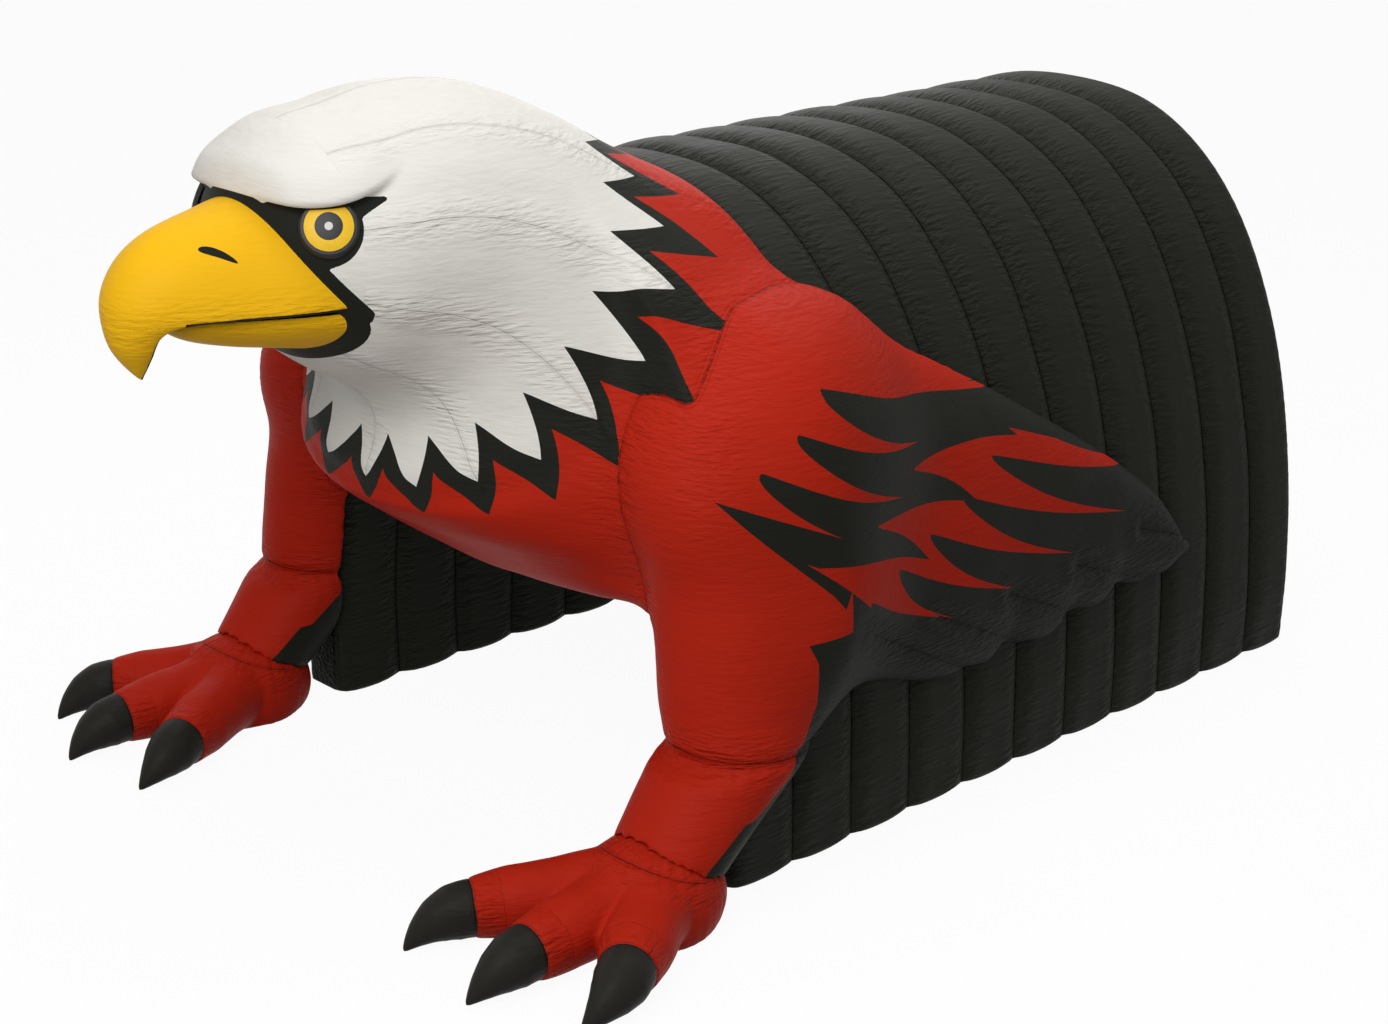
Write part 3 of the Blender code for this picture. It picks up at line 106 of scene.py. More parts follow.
SHOULDER_ROWS = (
    (0.357, 0.038, 0.111, 0.731, 0.583),
    (0.464, 0.077, 0.181, 0.808, 0.694),
    (0.571, 0.135, 0.229, 0.885, 0.778),
    (0.679, 0.183, 0.264, 0.962, 0.944),
    (0.768, 0.231, 0.299, 1.000, 1.000),
    (0.857, 0.308, 0.347, 0.962, 0.917),
    (0.929, 0.404, 0.417, 0.808, 0.722),
    (0.971, 0.471, 0.486, 0.577, 0.472),
    (1.000, 0.519, 0.521, 0.010, 0.010),
)
WING_START, WING_LENGTH, WING_TOP, WING_FOOT, WING_THICKNESS = 0.50, 3.10, 2.66, 0.70, 0.26
WING_EDGES = (
    (0.00, 1.000, 0.153),
    (0.15, 1.000, 0.082),
    (0.29, 0.918, 0.020),
    (0.43, 0.806, 0.005),
    (0.60, 0.648, 0.010),
    (0.76, 0.490, 0.046),
    (0.89, 0.337, 0.051),
    (0.95, 0.219, 0.061),
    (0.99, 0.140, 0.100),
)
MANTLE_LENGTH, MANTLE_THICKNESS, MANTLE_START, MANTLE_SPAN = 0.95, 0.13, 0.235, 0.53
FOOT_WIDTH, FOOT_LENGTH, FOOT_HEIGHT, TOE, TOE_TIP = 0.72, 0.80, 0.46, 0.40, 0.29
TALON_LENGTH, TALON_LIFT = 0.345, 0.02
TOES = {"inner": (-0.65, 1.06, -0.30), "middle": (0.05, 1.15, -0.06), "outer": (0.66, 0.87, 0.20)}
SHIFT = np.array((0.0, FRONT_Y, 0.0))
DEGREES = 180 / np.pi

# Sections of an air rib: places of its points from one seam to the next.
RIB_EDGE = (0, 0.012, 0.035, 0.07, 0.115, 0.17, 0.25, 0.36)
RIB_INSIDE = (0, 0.03, 0.1, 0.22, 0.38)

# The feathers fan out from a place above and ahead of the wing; a fan's steps are in degrees.
FAN_AHEAD, FAN_HEIGHT = 3.0, 3.34
QUILL_FIRST, QUILL_PITCH, QUILL_LAST, QUILL_START, QUILL_STEP = 19.6, 2.4, 4, 6.42, 0.222
WING_NOTCHES = ((1.92, 0.07), (2.46, 0.07), (2.90, 0.07), (3.46, 0.05))
WING_ROOT = ((0.7, 0.9, 1.3, 1.9, 2.4, 2.8), (0.52, 0.66, 0.92, 1.12, 1.08, 0.9))

# Edges of the dark cloth, as stops of a curve: below the wing's red, behind the leg, behind the beak's hook.
LOWEST_EDGE = ((0.0, -0.45), (0.16, -0.20), (0.29, 0.10), (0.47, 0.28), (0.65, 0.20), (0.94, -0.18), (1.0, -0.20))
LEG_EDGE = (
    *((0.0, -0.90), (0.226, -0.44), (0.352, -0.22), (0.354, -0.15), (0.467, 0.07)),
    *((0.567, 0.17), (0.687, 0.22), (0.833, 0.20), (0.905, 0.15), (0.907, 0.40)),
)
HOOK_EDGE = ((0.0, 0.0), (0.677, 0.0), (0.806, 0.018), (0.903, 0.056), (0.968, 0.11))

# The hood's edge: how many points it has, where it starts and how far the points lean.
TEETH, HOOD_NOTCH, LEAN = 20, 6.05, 0.62

# The head's forms: brow, forehead, the dark patch at the eye, and the eye with its rings.
BROW_Y, BROW_Z = -1.33, 3.425
CROWN = ((0.0, -1.26, 3.80), (0.24, -1.20, 3.78))
EYE_PATCH = (
    ((0.28, -1.47, 3.33), (0.48, -1.28, 3.33), 0.13, 0.168),
    ((0.34, -1.42, 3.16), (0.57, -1.16, 2.93), 0.055, 0.045),
    ((0.48, -1.28, 3.38), (0.60, -1.04, 3.46), 0.10, 0.012),
)
EYE_PLACE, EYE_WAY, EYE_RADIUS = (0.4968, -1.2792, 3.348), (0.72, -0.58, 0.38), 0.145
HIGHLIGHT, PUPIL, RIM = 0.13, 0.44, 0.78

# The block that holds the bird's left half, from corner to corner.
BIRD_LOW, BIRD_HIGH = (-0.08, -1.75, -0.05), (2.45, 3.75, 4.1)

# Numbers kept on the bird's skin; a row inside the passage is past every edge of the hood, and a distance of
# NO_SEAM is past the reach of every seam.
KEPT = ("seam", "row", "turn_x", "turn_y", "mask", "mine")
SEAM_SLOPE, INSIDE_ROW, KNEE_SEAM, NO_SEAM = 0.7, 12.0, KNEE_Z + 0.02, 0.4
FRONT_SLOTS = {"head": "white_fabric", "collar": "black_fabric", "chest": "red_fabric", "mantle": "red_fabric"}
FLANK_SLOTS = {
    "shin": "red_fabric",
    "shoulder": "red_fabric",
    "leg_panel": "black_fabric",
    "wing_primaries": "black_fabric",
    "wing_secondaries": "black_fabric",
    "wing_coverts": "red_fabric",
}

# Thickness along a toe and a talon, from root to tip.
TOE_SLIM = ((0.0, 0.3, 0.58, 0.8, 0.95, 1.0), (0.2, 0.0, 0.35, 0.45, 0.85, 1.0))
TALON_SLIM = ((-0.03, 0.0, 0.25, 0.5, 0.75, 0.9, 0.97, 1.0), (0.95, 0.965, 0.93, 0.74, 0.44, 0.22, 0.10, 0.01))

# Fittings: sections of the sleeve, the strap, the zip's tape, one of its teeth and the tabs' webbing.
SLEEVE_RADIUS, STRAP_THICK = 0.0945, 0.003
SLEEVE_FLARE = ((0.0, 0.2, 0.45, 0.62, 0.72, 1.0), (0.0315, 0.035, 0.0245, 0.007, 0.0, 0.0))
STRAP_PROFILE = ((-0.5, 0), (-0.5, 0.7), (-0.44, 1), (0.44, 1), (0.5, 0.7), (0.5, 0), (0.44, -0.2), (-0.44, -0.2))
ZIP_PROFILE = ((-1, 0), (-1, 0.7), (-0.96, 1), (-0.86, 1), (-0.83, 0.6), (-0.80, 1), (-0.26, 1), (-0.2, 0.5))
TAPE_THICK, TOOTH_PITCH, TOOTH_SIZE = 0.0029, 0.0055, (0.0047, 0.0058, 0.0021)
BLOCK_FACES = ((0, 1, 3, 2), (4, 6, 7, 5), (0, 4, 5, 1), (2, 3, 7, 6), (0, 2, 6, 4), (1, 5, 7, 3))
TAB_LOOP, TAB_EYE, TAB_THICK, TAB_WAIST = 0.0068, 0.0088, 0.002, 0.0188
TAB_PROFILE = ((-1, 0.4), (-0.97, 1), (0.97, 1), (1, 0.4), (1, -0.4), (0.97, -1), (-0.97, -1), (-1, -0.4))

# Finishes and shading: dull cloth, no seam near, points that count as one, and the turn of a crisp edge.
CLOTH_GLOSS, PLAIN, WELD, CRISP = 0.05, 0.3, 0.00001, 0.6

FLOOR = 150
LAMPS = (("key", (4.5, -8.5, 8.0), 6.0), ("top", (0.0, 1.6, 9.5), 8.0), ("rear", (-8.0, 6.0, 6.0), 6.0))
LAMPS_AIM = (0, 0, 1.4)

# The photograph's camera: its place from the first rib's front face, its lens, and its turn and dip in degrees.
CAMERA_PLACE, LENS, AZIMUTH, DIP = (9.501, -7.518, 5.890), 63.47, 46.64, 19.84


# Curves and grids


def smooth_rows(rows, places):
    """The rows at fractional row numbers, on one smooth curve through all of them."""
    rows = np.asarray(rows, float)
    places = np.asarray(places, float)
    last = len(rows) - 1
    low = np.clip(np.floor(places).astype(int), 0, last - 1)
    t = (places - low)[..., None]
    a, b = rows[np.maximum(low - 1, 0)], rows[low]
    c, d = rows[low + 1], rows[np.minimum(low + 2, last)]
    return 0.5 * (2 * b + (c - a) * t + (2 * a - 5 * b + 4 * c - d) * t**2 + (3 * b - a - 3 * c + d) * t**3)


def smooth_step(values, low, high):
    share = np.clip((values - low) / (high - low), 0, 1)
    return share * share * (3 - 2 * share)


def ripple(run, seed, lengths=(0.062, 0.083, 0.117), wander=0.9):
    """Gathers along a seam: sums of waves whose strength comes and goes, between about -1 and 1."""
    total = np.zeros_like(run)
    for number, length in enumerate(lengths):
        phase = seed * 1.7 + number * 2.1
        slow = np.sin(run / (length * 5.3) + phase * 1.3)
        total += np.sin(run * 2 * np.pi / length + phase + wander * slow) * (0.6 + 0.4 * slow)
    return total / len(lengths)


def lumps(points, seed, scale):
    """A cheap smooth field over space, between about -1 and 1."""
    x, y, z = (points[..., axis] / scale for axis in range(3))
    total = np.sin(x * 1.3 + 1.7 * np.sin(y * 0.9 + seed) + seed)
    total += np.sin(y * 1.7 + 1.3 * np.sin(z * 1.1 + seed * 2) + seed * 3)
    total += np.sin(z * 1.5 + 1.5 * np.sin(x * 1.2 + seed * 5) + seed * 7)
    return total / 3


class Arch:
    """The tunnel's rounded arch, sampled by its run from the left foot over the crown."""

    def __init__(self):
        turn = np.linspace(0, np.pi, 8001)
        self.x = HALF * np.sign(np.cos(turn)) * np.abs(np.cos(turn)) ** (2 / POWER)
        self.z = HEIGHT * np.abs(np.sin(turn)) ** (2 / POWER)
        run = np.concatenate([[0], np.cumsum(np.hypot(np.diff(self.x), np.diff(self.z)))])
        self.length, self.share = run[-1], run / run[-1]
        nx = np.sign(self.x) * (np.abs(self.x) / HALF) ** (POWER - 1) / HALF
        nz = (self.z / HEIGHT) ** (POWER - 1) / HEIGHT
        size = np.hypot(nx, nz)
        self.nx, self.nz = nx / size, nz / size
        left = self.x > 0
        self.crest_z = (self.z + OUTER * self.nz)[left]
        self.crest_share = self.share[left]

    def point(self, share, height, y):
        """Points a share of the way over, height outside the seam line."""
        share, height, y = np.broadcast_arrays(share, height, y)
        x, z = np.interp(share, self.share, self.x), np.interp(share, self.share, self.z)
        nx, nz = np.interp(share, self.share, self.nx), np.interp(share, self.share, self.nz)
        return np.stack([x + nx * height, y, z + nz * height], -1)

    def share_at(self, z):
        """Share on the left side where the ribs' crest is z above the floor."""
        return np.interp(z, self.crest_z, self.crest_share)

    def depth(self, points, offset):
        """How far points lie inside the arch raised by offset: positive inside."""
        wide, tall = HALF + offset, HEIGHT + offset
        x, z = np.abs(points[..., 0]) / wide, np.maximum(points[..., 2], 0) / tall
        return (1 - (x**POWER + z**POWER) ** (1 / POWER)) * np.hypot(points[..., 0], points[..., 2]).clip(0.5)


ARCH = Arch()


# Meshes


def grid_faces(rows, columns):
    """Quads of a grid whose rows close on themselves."""
    row, column = np.meshgrid(np.arange(rows - 1) * columns, np.arange(columns), indexing="ij")
    after = (column + 1) % columns
    quads = np.stack([row + column, row + after, row + columns + after, row + columns + column], -1)
    return quads.reshape(-1, 4).tolist()


def tube_mesh(grid):
    """Points and faces of a closed skin: rings of points with a fan at each end."""
    rows, columns = grid.shape[:2]
    points = np.concatenate([grid.reshape(-1, 3), grid[[0, -1]].mean(1)])
    faces = grid_faces(rows, columns)
    first, base = rows * columns, (rows - 1) * columns
    for column in range(columns):
        after = (column + 1) % columns
        faces += [[first, after, column], [first + 1, base + column, base + after]]
    return points, faces


def new_object(name, points, faces, finish=None, shift=True):
    """A smooth mesh object; shift takes it from the rib's own y to the shared frame."""
    mesh = bpy.data.meshes.new(name)
    points = np.asarray(points, float) + (SHIFT if shift else 0.0)
    mesh.from_pydata(points.tolist(), [], faces)
    mesh.validate()
    mesh.polygons.foreach_set("use_smooth", [True] * len(mesh.polygons))
    made = bpy.data.objects.new(name, mesh)
    bpy.context.scene.collection.objects.link(made)
    if finish:
        mesh.materials.append(finishes(finish))
    return made


def read(items, key, width=1, kind=float):
    """One number, or a row of width numbers, for each item."""
    found = np.empty(len(items) * width, kind)
    items.foreach_get(key, found)
    return found.reshape(-1, width) if width > 1 else found


def coordinates(made):
    return read(made.data.vertices, "co", 3)


def normals(made):
    return read(made.data.vertices, "normal", 3)


def set_coordinates(made, points):
    """Moves the points."""
    made.data.vertices.foreach_set("co", np.asarray(points, np.float32).reshape(-1))
    made.data.update()


def face_out(made):
    """Turns every face of a closed skin outward."""
    made.data.calc_loop_triangles()
    corners = coordinates(made)[read(made.data.loop_triangles, "vertices", 3, np.int64)]
    if np.einsum("ij,ij->i", corners[:, 0], np.cross(corners[:, 1], corners[:, 2])).sum() < 0:
        made.data.flip_normals()
    return made


def closed_skin(name, grid, finish=None, shift=True):
    """A closed skin over rings of points."""
    return face_out(new_object(name, *tube_mesh(grid), finish, shift))


def note(made, name, values):
    """Keeps one number for each point, which the finishes read."""
    values = np.broadcast_to(values, len(made.data.vertices)).astype(np.float32)
    made.data.attributes.new(name, "FLOAT", "POINT").data.foreach_set("value", values)


def baked(made):
    """Applies the object's modifiers."""
    mesh = bpy.data.meshes.new_from_object(made.evaluated_get(bpy.context.evaluated_depsgraph_get()))
    old = made.data
    made.modifiers.clear()
    made.data = mesh
    bpy.data.meshes.remove(old)
    return made


def modify(made, kind, **settings):
    """Adds a modifier."""
    step = made.modifiers.new(kind.lower(), kind)
    for name, value in settings.items():
        setattr(step, name, value)
    return made


def drop(*guides):
    """Removes guide skins that are no pieces of the object."""
    for guide in guides:
        bpy.data.objects.remove(guide)


def combine(made, others, operation):
    """Joins or cuts with other closed skins."""
    for other in others:
        modify(made, "BOOLEAN", operation=operation, object=other, solver="MANIFOLD")
    return baked(made)


def even(made, cell, rounds):
    """Gives the skin even small faces, then eases its corners."""
    baked(modify(made, "REMESH", mode="VOXEL", voxel_size=cell))
    first, second = read(made.data.edges, "vertices", 2, np.int64).T
    points = coordinates(made)
    count = np.bincount(first, minlength=len(points)) + np.bincount(second, minlength=len(points))
    for _ in range(rounds):
        mean = np.empty_like(points)
        for axis, line in enumerate(points.T):
            mean[:, axis] = np.bincount(first, line[second], len(points))
            mean[:, axis] += np.bincount(second, line[first], len(points))
        points = points + (mean / np.maximum(count, 1)[:, None] - points) * 0.5
    set_coordinates(made, points)
    return made


def dress(made, finish):
    """Gives the whole skin one finish."""
    made.data.materials.clear()
    made.data.materials.append(finishes(finish))
    made.data.polygons.foreach_set("material_index", [0] * len(made.data.polygons))


class Skin:
    """A closed guide skin that tells how far outside it a point lies."""

    def __init__(self, made):
        faces = [tuple(face.vertices) for face in made.data.polygons]
        self.tree = BVHTree.FromPolygons([tuple(p) for p in coordinates(made)], faces)
        facing = normals(made)
        self.facing = [Vector(facing[list(face)].mean(0)) for face in faces]

    def off(self, points, reach, signed=True):
        """Distances, negative inside where they are signed, and reach where the skin is further away."""
        found = np.full(len(points), reach)
        for number, point in enumerate(points.tolist()):
            spot, _, face, far = self.tree.find_nearest(point, reach)
            if spot is not None:
                inside = signed and (Vector(point) - spot).dot(self.facing[face]) <= 0
                found[number] = -far if inside else far
        return found


def soft_min(first, second, blend):
    """The lesser of two distances, rounded where they are close, so that skins flow together."""
    near = np.clip(1 - np.abs(first - second) / blend, 0, 1)
    return np.minimum(first, second) - near**2 * blend / 4


def lattice(low, high, cell):
    """A block of points with the given spacing."""
    axes = [np.arange(a, b + cell, cell) for a, b in zip(low, high)]
    return np.stack(np.meshgrid(*axes, indexing="ij"), -1)


def finer(field, times):
    """The field between its points, by straight lines."""
    for axis in range(3):
        field = np.moveaxis(field, axis, 0)
        places = np.arange((len(field) - 1) * times + 1) / times
        low = np.minimum(places.astype(int), len(field) - 2)
        share = (places - low)[:, None, None]
        field = np.moveaxis(field[low] * (1 - share) + field[low + 1] * share, 0, axis)
    return field


def net(field, low, cell):
    """Points and quads of the skin where the field turns from inside (negative) to outside."""
    field = np.pad(field, 1, constant_values=1.0)
    cells = tuple(n - 1 for n in field.shape)
    total, count = np.zeros((*cells, 3)), np.zeros(cells)
    crossings = []
    for axis in range(3):
        first, second = (np.moveaxis(field, axis, 0)[part] for part in (slice(None, -1), slice(1, None)))
        crossed = (first < 0) != (second < 0)
        share = np.where(crossed, first / np.where(crossed, first - second, 1), 0)
        crossed, share, inward = (np.moveaxis(part, 0, axis) for part in (crossed, share, first < 0))
        where = np.argwhere(crossed)
        spot = where.astype(float)
        spot[:, axis] += share[crossed]
        around = []
        for a, b in ((0, 0), (1, 0), (1, 1), (0, 1)):
            cell_at = where.copy()
            cell_at[:, (axis + 1) % 3] -= a
            cell_at[:, (axis + 2) % 3] -= b
            around.append(cell_at)
            np.add.at(total, tuple(cell_at.T), spot)
            np.add.at(count, tuple(cell_at.T), 1)
        crossings.append((around, inward[crossed]))
    used = count > 0
    order = np.full(cells, -1)
    order[used] = np.arange(used.sum())
    points = total[used] / count[used][:, None]
    faces = []
    for around, inward in crossings:
        quads = np.stack([order[tuple(cell_at.T)] for cell_at in around], 1)
        faces.append(np.where(inward[:, None], quads[:, ::-1], quads))
    return (points - 1) * cell + low, np.concatenate(faces).tolist()


def settle(made, *nodes, slot, fill=None):
    """Hands a finished piece to the frame."""
    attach(made, "tunnel")
    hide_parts(*nodes)


def mirrored(made, name):
    """The same piece on the bird's right side."""
    copy = bpy.data.objects.new(name, made.data.copy())
    bpy.context.scene.collection.objects.link(copy)
    set_coordinates(copy, coordinates(copy) * (-1, 1, 1))
    copy.data.flip_normals()
    return copy


# Finishes


def add_node(tree, kind, settings=None, sockets=None, output=0):
    """A new node: its settings first, a ramp's stops among them, then what its sockets hold."""
    made = tree.nodes.new(kind)
    for name, value in (settings or {}).items():
        if name == "stops":
            elements = made.color_ramp.elements
            while len(elements) < len(value):
                elements.new(0.5)
            for element, (place, level) in zip(elements, value):
                element.position, element.color = place, (level, level, level, 1.0)
        else:
            setattr(made, name, value)
    for place, value in (sockets or {}).items():
        plug(tree, made.inputs[place], value)
    return Wire(tree, made.outputs[output]) if made.outputs else None


def plug(tree, socket, value):
    """Links a wire to the socket, or sets its value; a colour leaves out its fourth number."""
    if isinstance(value, Wire):
        tree.links.new(value.socket, socket)
    else:
        socket.default_value = (*value, 1.0) if socket.type == "RGBA" else value


def maths(operation, swapped=False):
    """A method of Wire that adds a Math node for itself and other numbers or wires."""

    def method(wire, *others):
        values = (*others, wire) if swapped else (wire, *others)
        return add_node(wire.tree, "ShaderNodeMath", {"operation": operation}, dict(enumerate(values)))

    return method


class Wire:
    """A shader socket that takes part in arithmetic."""

    def __init__(self, tree, socket):
        self.tree, self.socket = tree, socket

    __add__ = __radd__ = maths("ADD")
    __mul__ = __rmul__ = maths("MULTIPLY")
    __sub__, __rsub__ = maths("SUBTRACT"), maths("SUBTRACT", swapped=True)
    __truediv__, __rtruediv__ = maths("DIVIDE"), maths("DIVIDE", swapped=True)
    __pow__, __abs__ = maths("POWER"), maths("ABSOLUTE")
    over, under = maths("GREATER_THAN"), maths("LESS_THAN")
    least, most = maths("MINIMUM"), maths("MAXIMUM")
    fraction, whole = maths("FRACT"), maths("FLOOR")
    sine, root, angle = maths("SINE"), maths("SQRT"), maths("ARCTAN2")

    def __neg__(self):
        return self * -1.0

    def within(self, low, high):
        return self.most(low).least(high)

    def degrees(self, other):
        """The angle whose tangent is this number over the other."""
        return self.angle(other) * DEGREES

    def rise(self, low, high):
        """0 below low, 1 above high, smooth between."""
        sockets = {"Value": self, "From Min": low, "From Max": high}
        return add_node(self.tree, "ShaderNodeMapRange", {"interpolation_type": "SMOOTHSTEP"}, sockets)

    def curve(self, stops, low=-0.5):
        """Straight lines between stops of (number from 0 to 1, result from low to low + 1)."""
        stops = [(place, result - low) for place, result in stops]
        return add_node(self.tree, "ShaderNodeValToRGB", {"stops": stops}, {0: self}) + low

    def between(self, first, second):
        """first where this share is 0, second where it is 1."""
        return first + self * (second - first)

    def mix(self, first, second):
        """The first colour where this share is 0, the second where it is 1."""
        return add_node(self.tree, "ShaderNodeMix", {"data_type": "RGBA"}, {"Factor": self, 6: first, 7: second}, 2)


class Finish:
    """A material in the making. Its Principled shader takes what is given, by socket name."""

    def __init__(self, name, **values):
        self.material = bpy.data.materials.new(name)
        self.material.use_nodes = True
        self.tree = self.material.node_tree
        self.shader = self.tree.nodes["Principled BSDF"]
        self.give(**values)

    def give(self, **values):
        for name, value in values.items():
            plug(self.tree, self.shader.inputs[name.replace("_", " ")], value)

    def add(self, kind, settings=None, output=0, **sockets):
        return add_node(self.tree, "ShaderNode" + kind, settings, sockets, output)

    def place(self):
        """x, y and z on the object; y is counted from the first rib's front face."""
        where = self.add("TexCoord", output="Object")
        x, y, z = (self.add("SeparateXYZ", output=axis, Vector=where) for axis in "XYZ")
        return x, y - FRONT_Y, z

    def noise(self, scale, detail=3.0, stretch=(1, 1, 1), rough=0.5):
        where = self.add("Mapping", Vector=self.add("TexCoord", output="Object"), Scale=stretch)
        return self.add("TexNoise", output="Fac", Vector=where, Scale=scale, Detail=detail, Roughness=rough)

    def kept(self, name):
        """A number that the mesh keeps for each point."""
        return self.add("Attribute", {"attribute_name": name}, "Fac")

    def bump(self, height):
        """Relief from a height in metres."""
        self.give(Normal=self.add("Bump", Strength=1.0, Distance=1.0, Height=height))


def hue(name):
    """A colour from the settings."""
    return tuple(getattr(bpy.context.scene.tunnel, name))


def darker(colour, share):
    return tuple(level * share for level in colour)


def nylon(name, colour, roughness=0.5, seams=None, wrinkle=0.008, stretch=(0.5, 0.5, 2.6), line=0.6):
    """Coated nylon cloth under air: creases, gathers beside the seams and a stitched line along them. Its colour
    carries painted shade in the seam valleys and in the hollows of the fine wrinkles; line sets the strength of the
    painted seam shade and of the dark thread.
    """
    finish = Finish(name, Specular_IOR_Level=CLOTH_GLOSS)
    seam = seams(finish) if seams else abs(finish.kept("seam"))
    near = 1.0 - seam.rise(0.02, 0.20)
    tone = finish.noise(1.3, 3.0)
    creases = finish.noise(6.0, 3.0, stretch, 0.55)
    fine = finish.noise(24.0, 2.5, stretch, 0.5)
    weave = finish.noise(420.0, 1.0)
    valley = 1.0 - seam.rise(0.0015, 0.007)
    thread = seam.rise(0.010, 0.012) * (1.0 - seam.rise(0.014, 0.016))
    # Painted shade: the colour darkens in the seam valley and with the fine wrinkles' noise, which is low in their
    # hollows; tone is the cloth's own random mottling and thread the dark stitching.
    light = (1.0 - valley * line - thread * (line * 0.35)) * (0.84 + tone * 0.18 + fine * 0.14)
    cloth = colour(finish) if callable(colour) else colour
    finish.give(Base_Color=light.mix((0.0, 0.0, 0.0), cloth))
    finish.give(Roughness=roughness - 0.05 + tone * 0.1 + fine * 0.05)
    height = creases * wrinkle * (0.5 + near) + fine * (wrinkle * 0.8) * (0.3 + near * 1.8)
    finish.bump(height + weave * 0.00015 - thread * 0.001 - valley * 0.003)
    return finish.material


def quill_seam(far, fall):
    """Distance to the nearest seam between the long wing feathers, for places in the feathers' fan."""
    cell = (fall - QUILL_FIRST) / QUILL_PITCH + 0.5
    whole = np.clip(np.floor(cell), 0, QUILL_LAST)
    off = np.abs(cell - 0.5 - whole) * QUILL_PITCH / DEGREES * far
    start = QUILL_START - QUILL_STEP * whole * QUILL_PITCH
    return np.hypot(off, np.maximum(start - far, 0))


def fan(y, z):
    """Where a place lies in the feathers' fan: how far from its root, and degrees below level."""
    ahead, below = y + FAN_AHEAD, FAN_HEIGHT - z
    return (ahead * ahead + below * below).root(), below.degrees(ahead)


def flank_seams(finish):
    """The shoulder's, the knee's and the long feathers' seams as crisp lines."""
    x, y, z = finish.place()
    far, fall = fan(y, z)
    cell = (fall - QUILL_FIRST) / QUILL_PITCH + 0.5
    whole = cell.whole().within(0.0, QUILL_LAST)
    off = abs(cell - 0.5 - whole) * (QUILL_PITCH / DEGREES) * far
    short = (QUILL_START - whole * QUILL_STEP * QUILL_PITCH - far).most(0.0)
    quill = (off * off + short * short).root() + abs(x).under(1.5)
    knee = abs(z - KNEE_SEAM + (y - KNEE_Y) * 0.12) + y.over(0.6)
    return abs(finish.kept("mine") * SEAM_SLOPE).least(knee).least(quill)


def bird_seams(finish):
    """The shoulder's seam and the hood's long seams, which run from the neck towards the beak."""
    row = finish.kept("row")
    cell = ((finish.kept("turn_y").degrees(finish.kept("turn_x")) + 90.0) / 36.0 + 0.5).fraction()
    line = abs(cell - 0.5) * 0.62 + row.under(2.5) + row.over(8.0)
    return abs(finish.kept("mine") * SEAM_SLOPE).least(line)


def hood_rows(turn):
    """Row numbers where the white hood ends and where the dark edging ends."""
    cell = (turn * TEETH / (2 * np.pi) + TEETH / 4 + LEAN) % 1.0
    tooth = np.minimum(cell / LEAN, (1 - cell) / (1 - LEAN))
    reach = 1.08 - 0.75 * np.sin(turn)
    hood = HOOD_NOTCH - 0.55 * np.maximum(-np.sin(turn), 0) ** 3 + reach * tooth
    return hood, hood + reach * (0.62 + 0.38 * tooth)


def bird_colour(finish):
    """White hood, dark beside the beak and the eye, dark feather-pointed edging, and red beyond it."""
    rise, row = finish.kept("turn_y"), finish.kept("row")
    turn = rise.angle(finish.kept("turn_x"))
    cell = (turn * (TEETH / (2 * np.pi)) + (TEETH * 1.25 + LEAN)).fraction()
    tooth = (cell / LEAN).least((1.0 - cell) / (1 - LEAN))
    reach = 1.08 - rise * 0.75
    hood = HOOD_NOTCH - (-rise).most(0.0) ** 3.0 * 0.55 + reach * tooth
    edging = hood + reach * (0.62 + tooth * 0.38)
    front = finish.kept("mask").under(0.0).mix(hue("white"), hue("black"))
    front = (row - hood).over(0.0).mix(front, hue("black"))
    return (row - edging).over(0.0).mix(front, hue("red"))


def feathers(far, fall, start, slope, length, pitch, tip, lean, belly, point=1.0):
    """1 beyond a row of curved feather points, 0 before them; feathers fan out from the shoulder."""
    share = (far - start + (fall - 16.0) * slope) / length
    bent = fall - (share.within(0.0, 1.0) * np.pi).sine() * belly
    cell = ((bent - tip) / pitch + (8.0 + lean)).fraction()
    tooth = (cell / lean).least((1.0 - cell) / (1.0 - lean)) ** point
    return (share - tooth).over(0.0)


def flank_colour(finish):
    """Red shoulder and leg; feather rows in black and red towards the black tip of the wing."""
    x, y, z = finish.place()
    far, fall = fan(y, z)
    long = (14.0 - fall).within(0.0, 2.0) * 1.1 + 0.95
    first = feathers(far, fall, 3.46, 0.045, long, 3.53, 12.9, 0.93, 0.7, 2.1)
    second = feathers(far, fall, 4.52, 0.085, 0.72, 4.0, 15.6, 0.36, -0.5, 1.3)
    third = feathers(far, fall, 5.12, 0.09, 1.42 - (fall - 18.0) * 0.075, 2.6, 16.2, 0.74, 0.5, 1.7)
    bulge = ((fall - 23.5) * 0.75).within(0.0, np.pi).sine() * 0.09
    lowest = (far - (fall - 23.5) * 0.165 - 3.11 + bulge).over(0.0)
    first = fall.over(23.5).between(first, lowest) * fall.over(12.9).most(far.over(5.2))
    second = second * (fall - (far - 4.5) * 0.9).over(14.6)
    second = fall.over(26.1).between(second, (far - (fall - 26.1) * 0.33 - 3.6).over(0.0))
    outside = abs(x).over(1.6).most(y.over(0.5))
    upper = (first * (1.0 - second)).most(third) * outside
    lower = (fall - (((far - 3.6) / 1.7).curve(LOWEST_EDGE) * 3.0 + 27.5)).over(0.0)
    tail = lowest * fall.over(23.5) * far.under(3.9) * (1.0 - second) * outside
    edge = (z / 1.5).curve(LEG_EDGE) + (abs(x) - LEG_X) * 0.2
    dark = lower.between(upper, (y - edge).over(0.0))
    return dark.most(tail).mix(hue("red"), hue("black"))


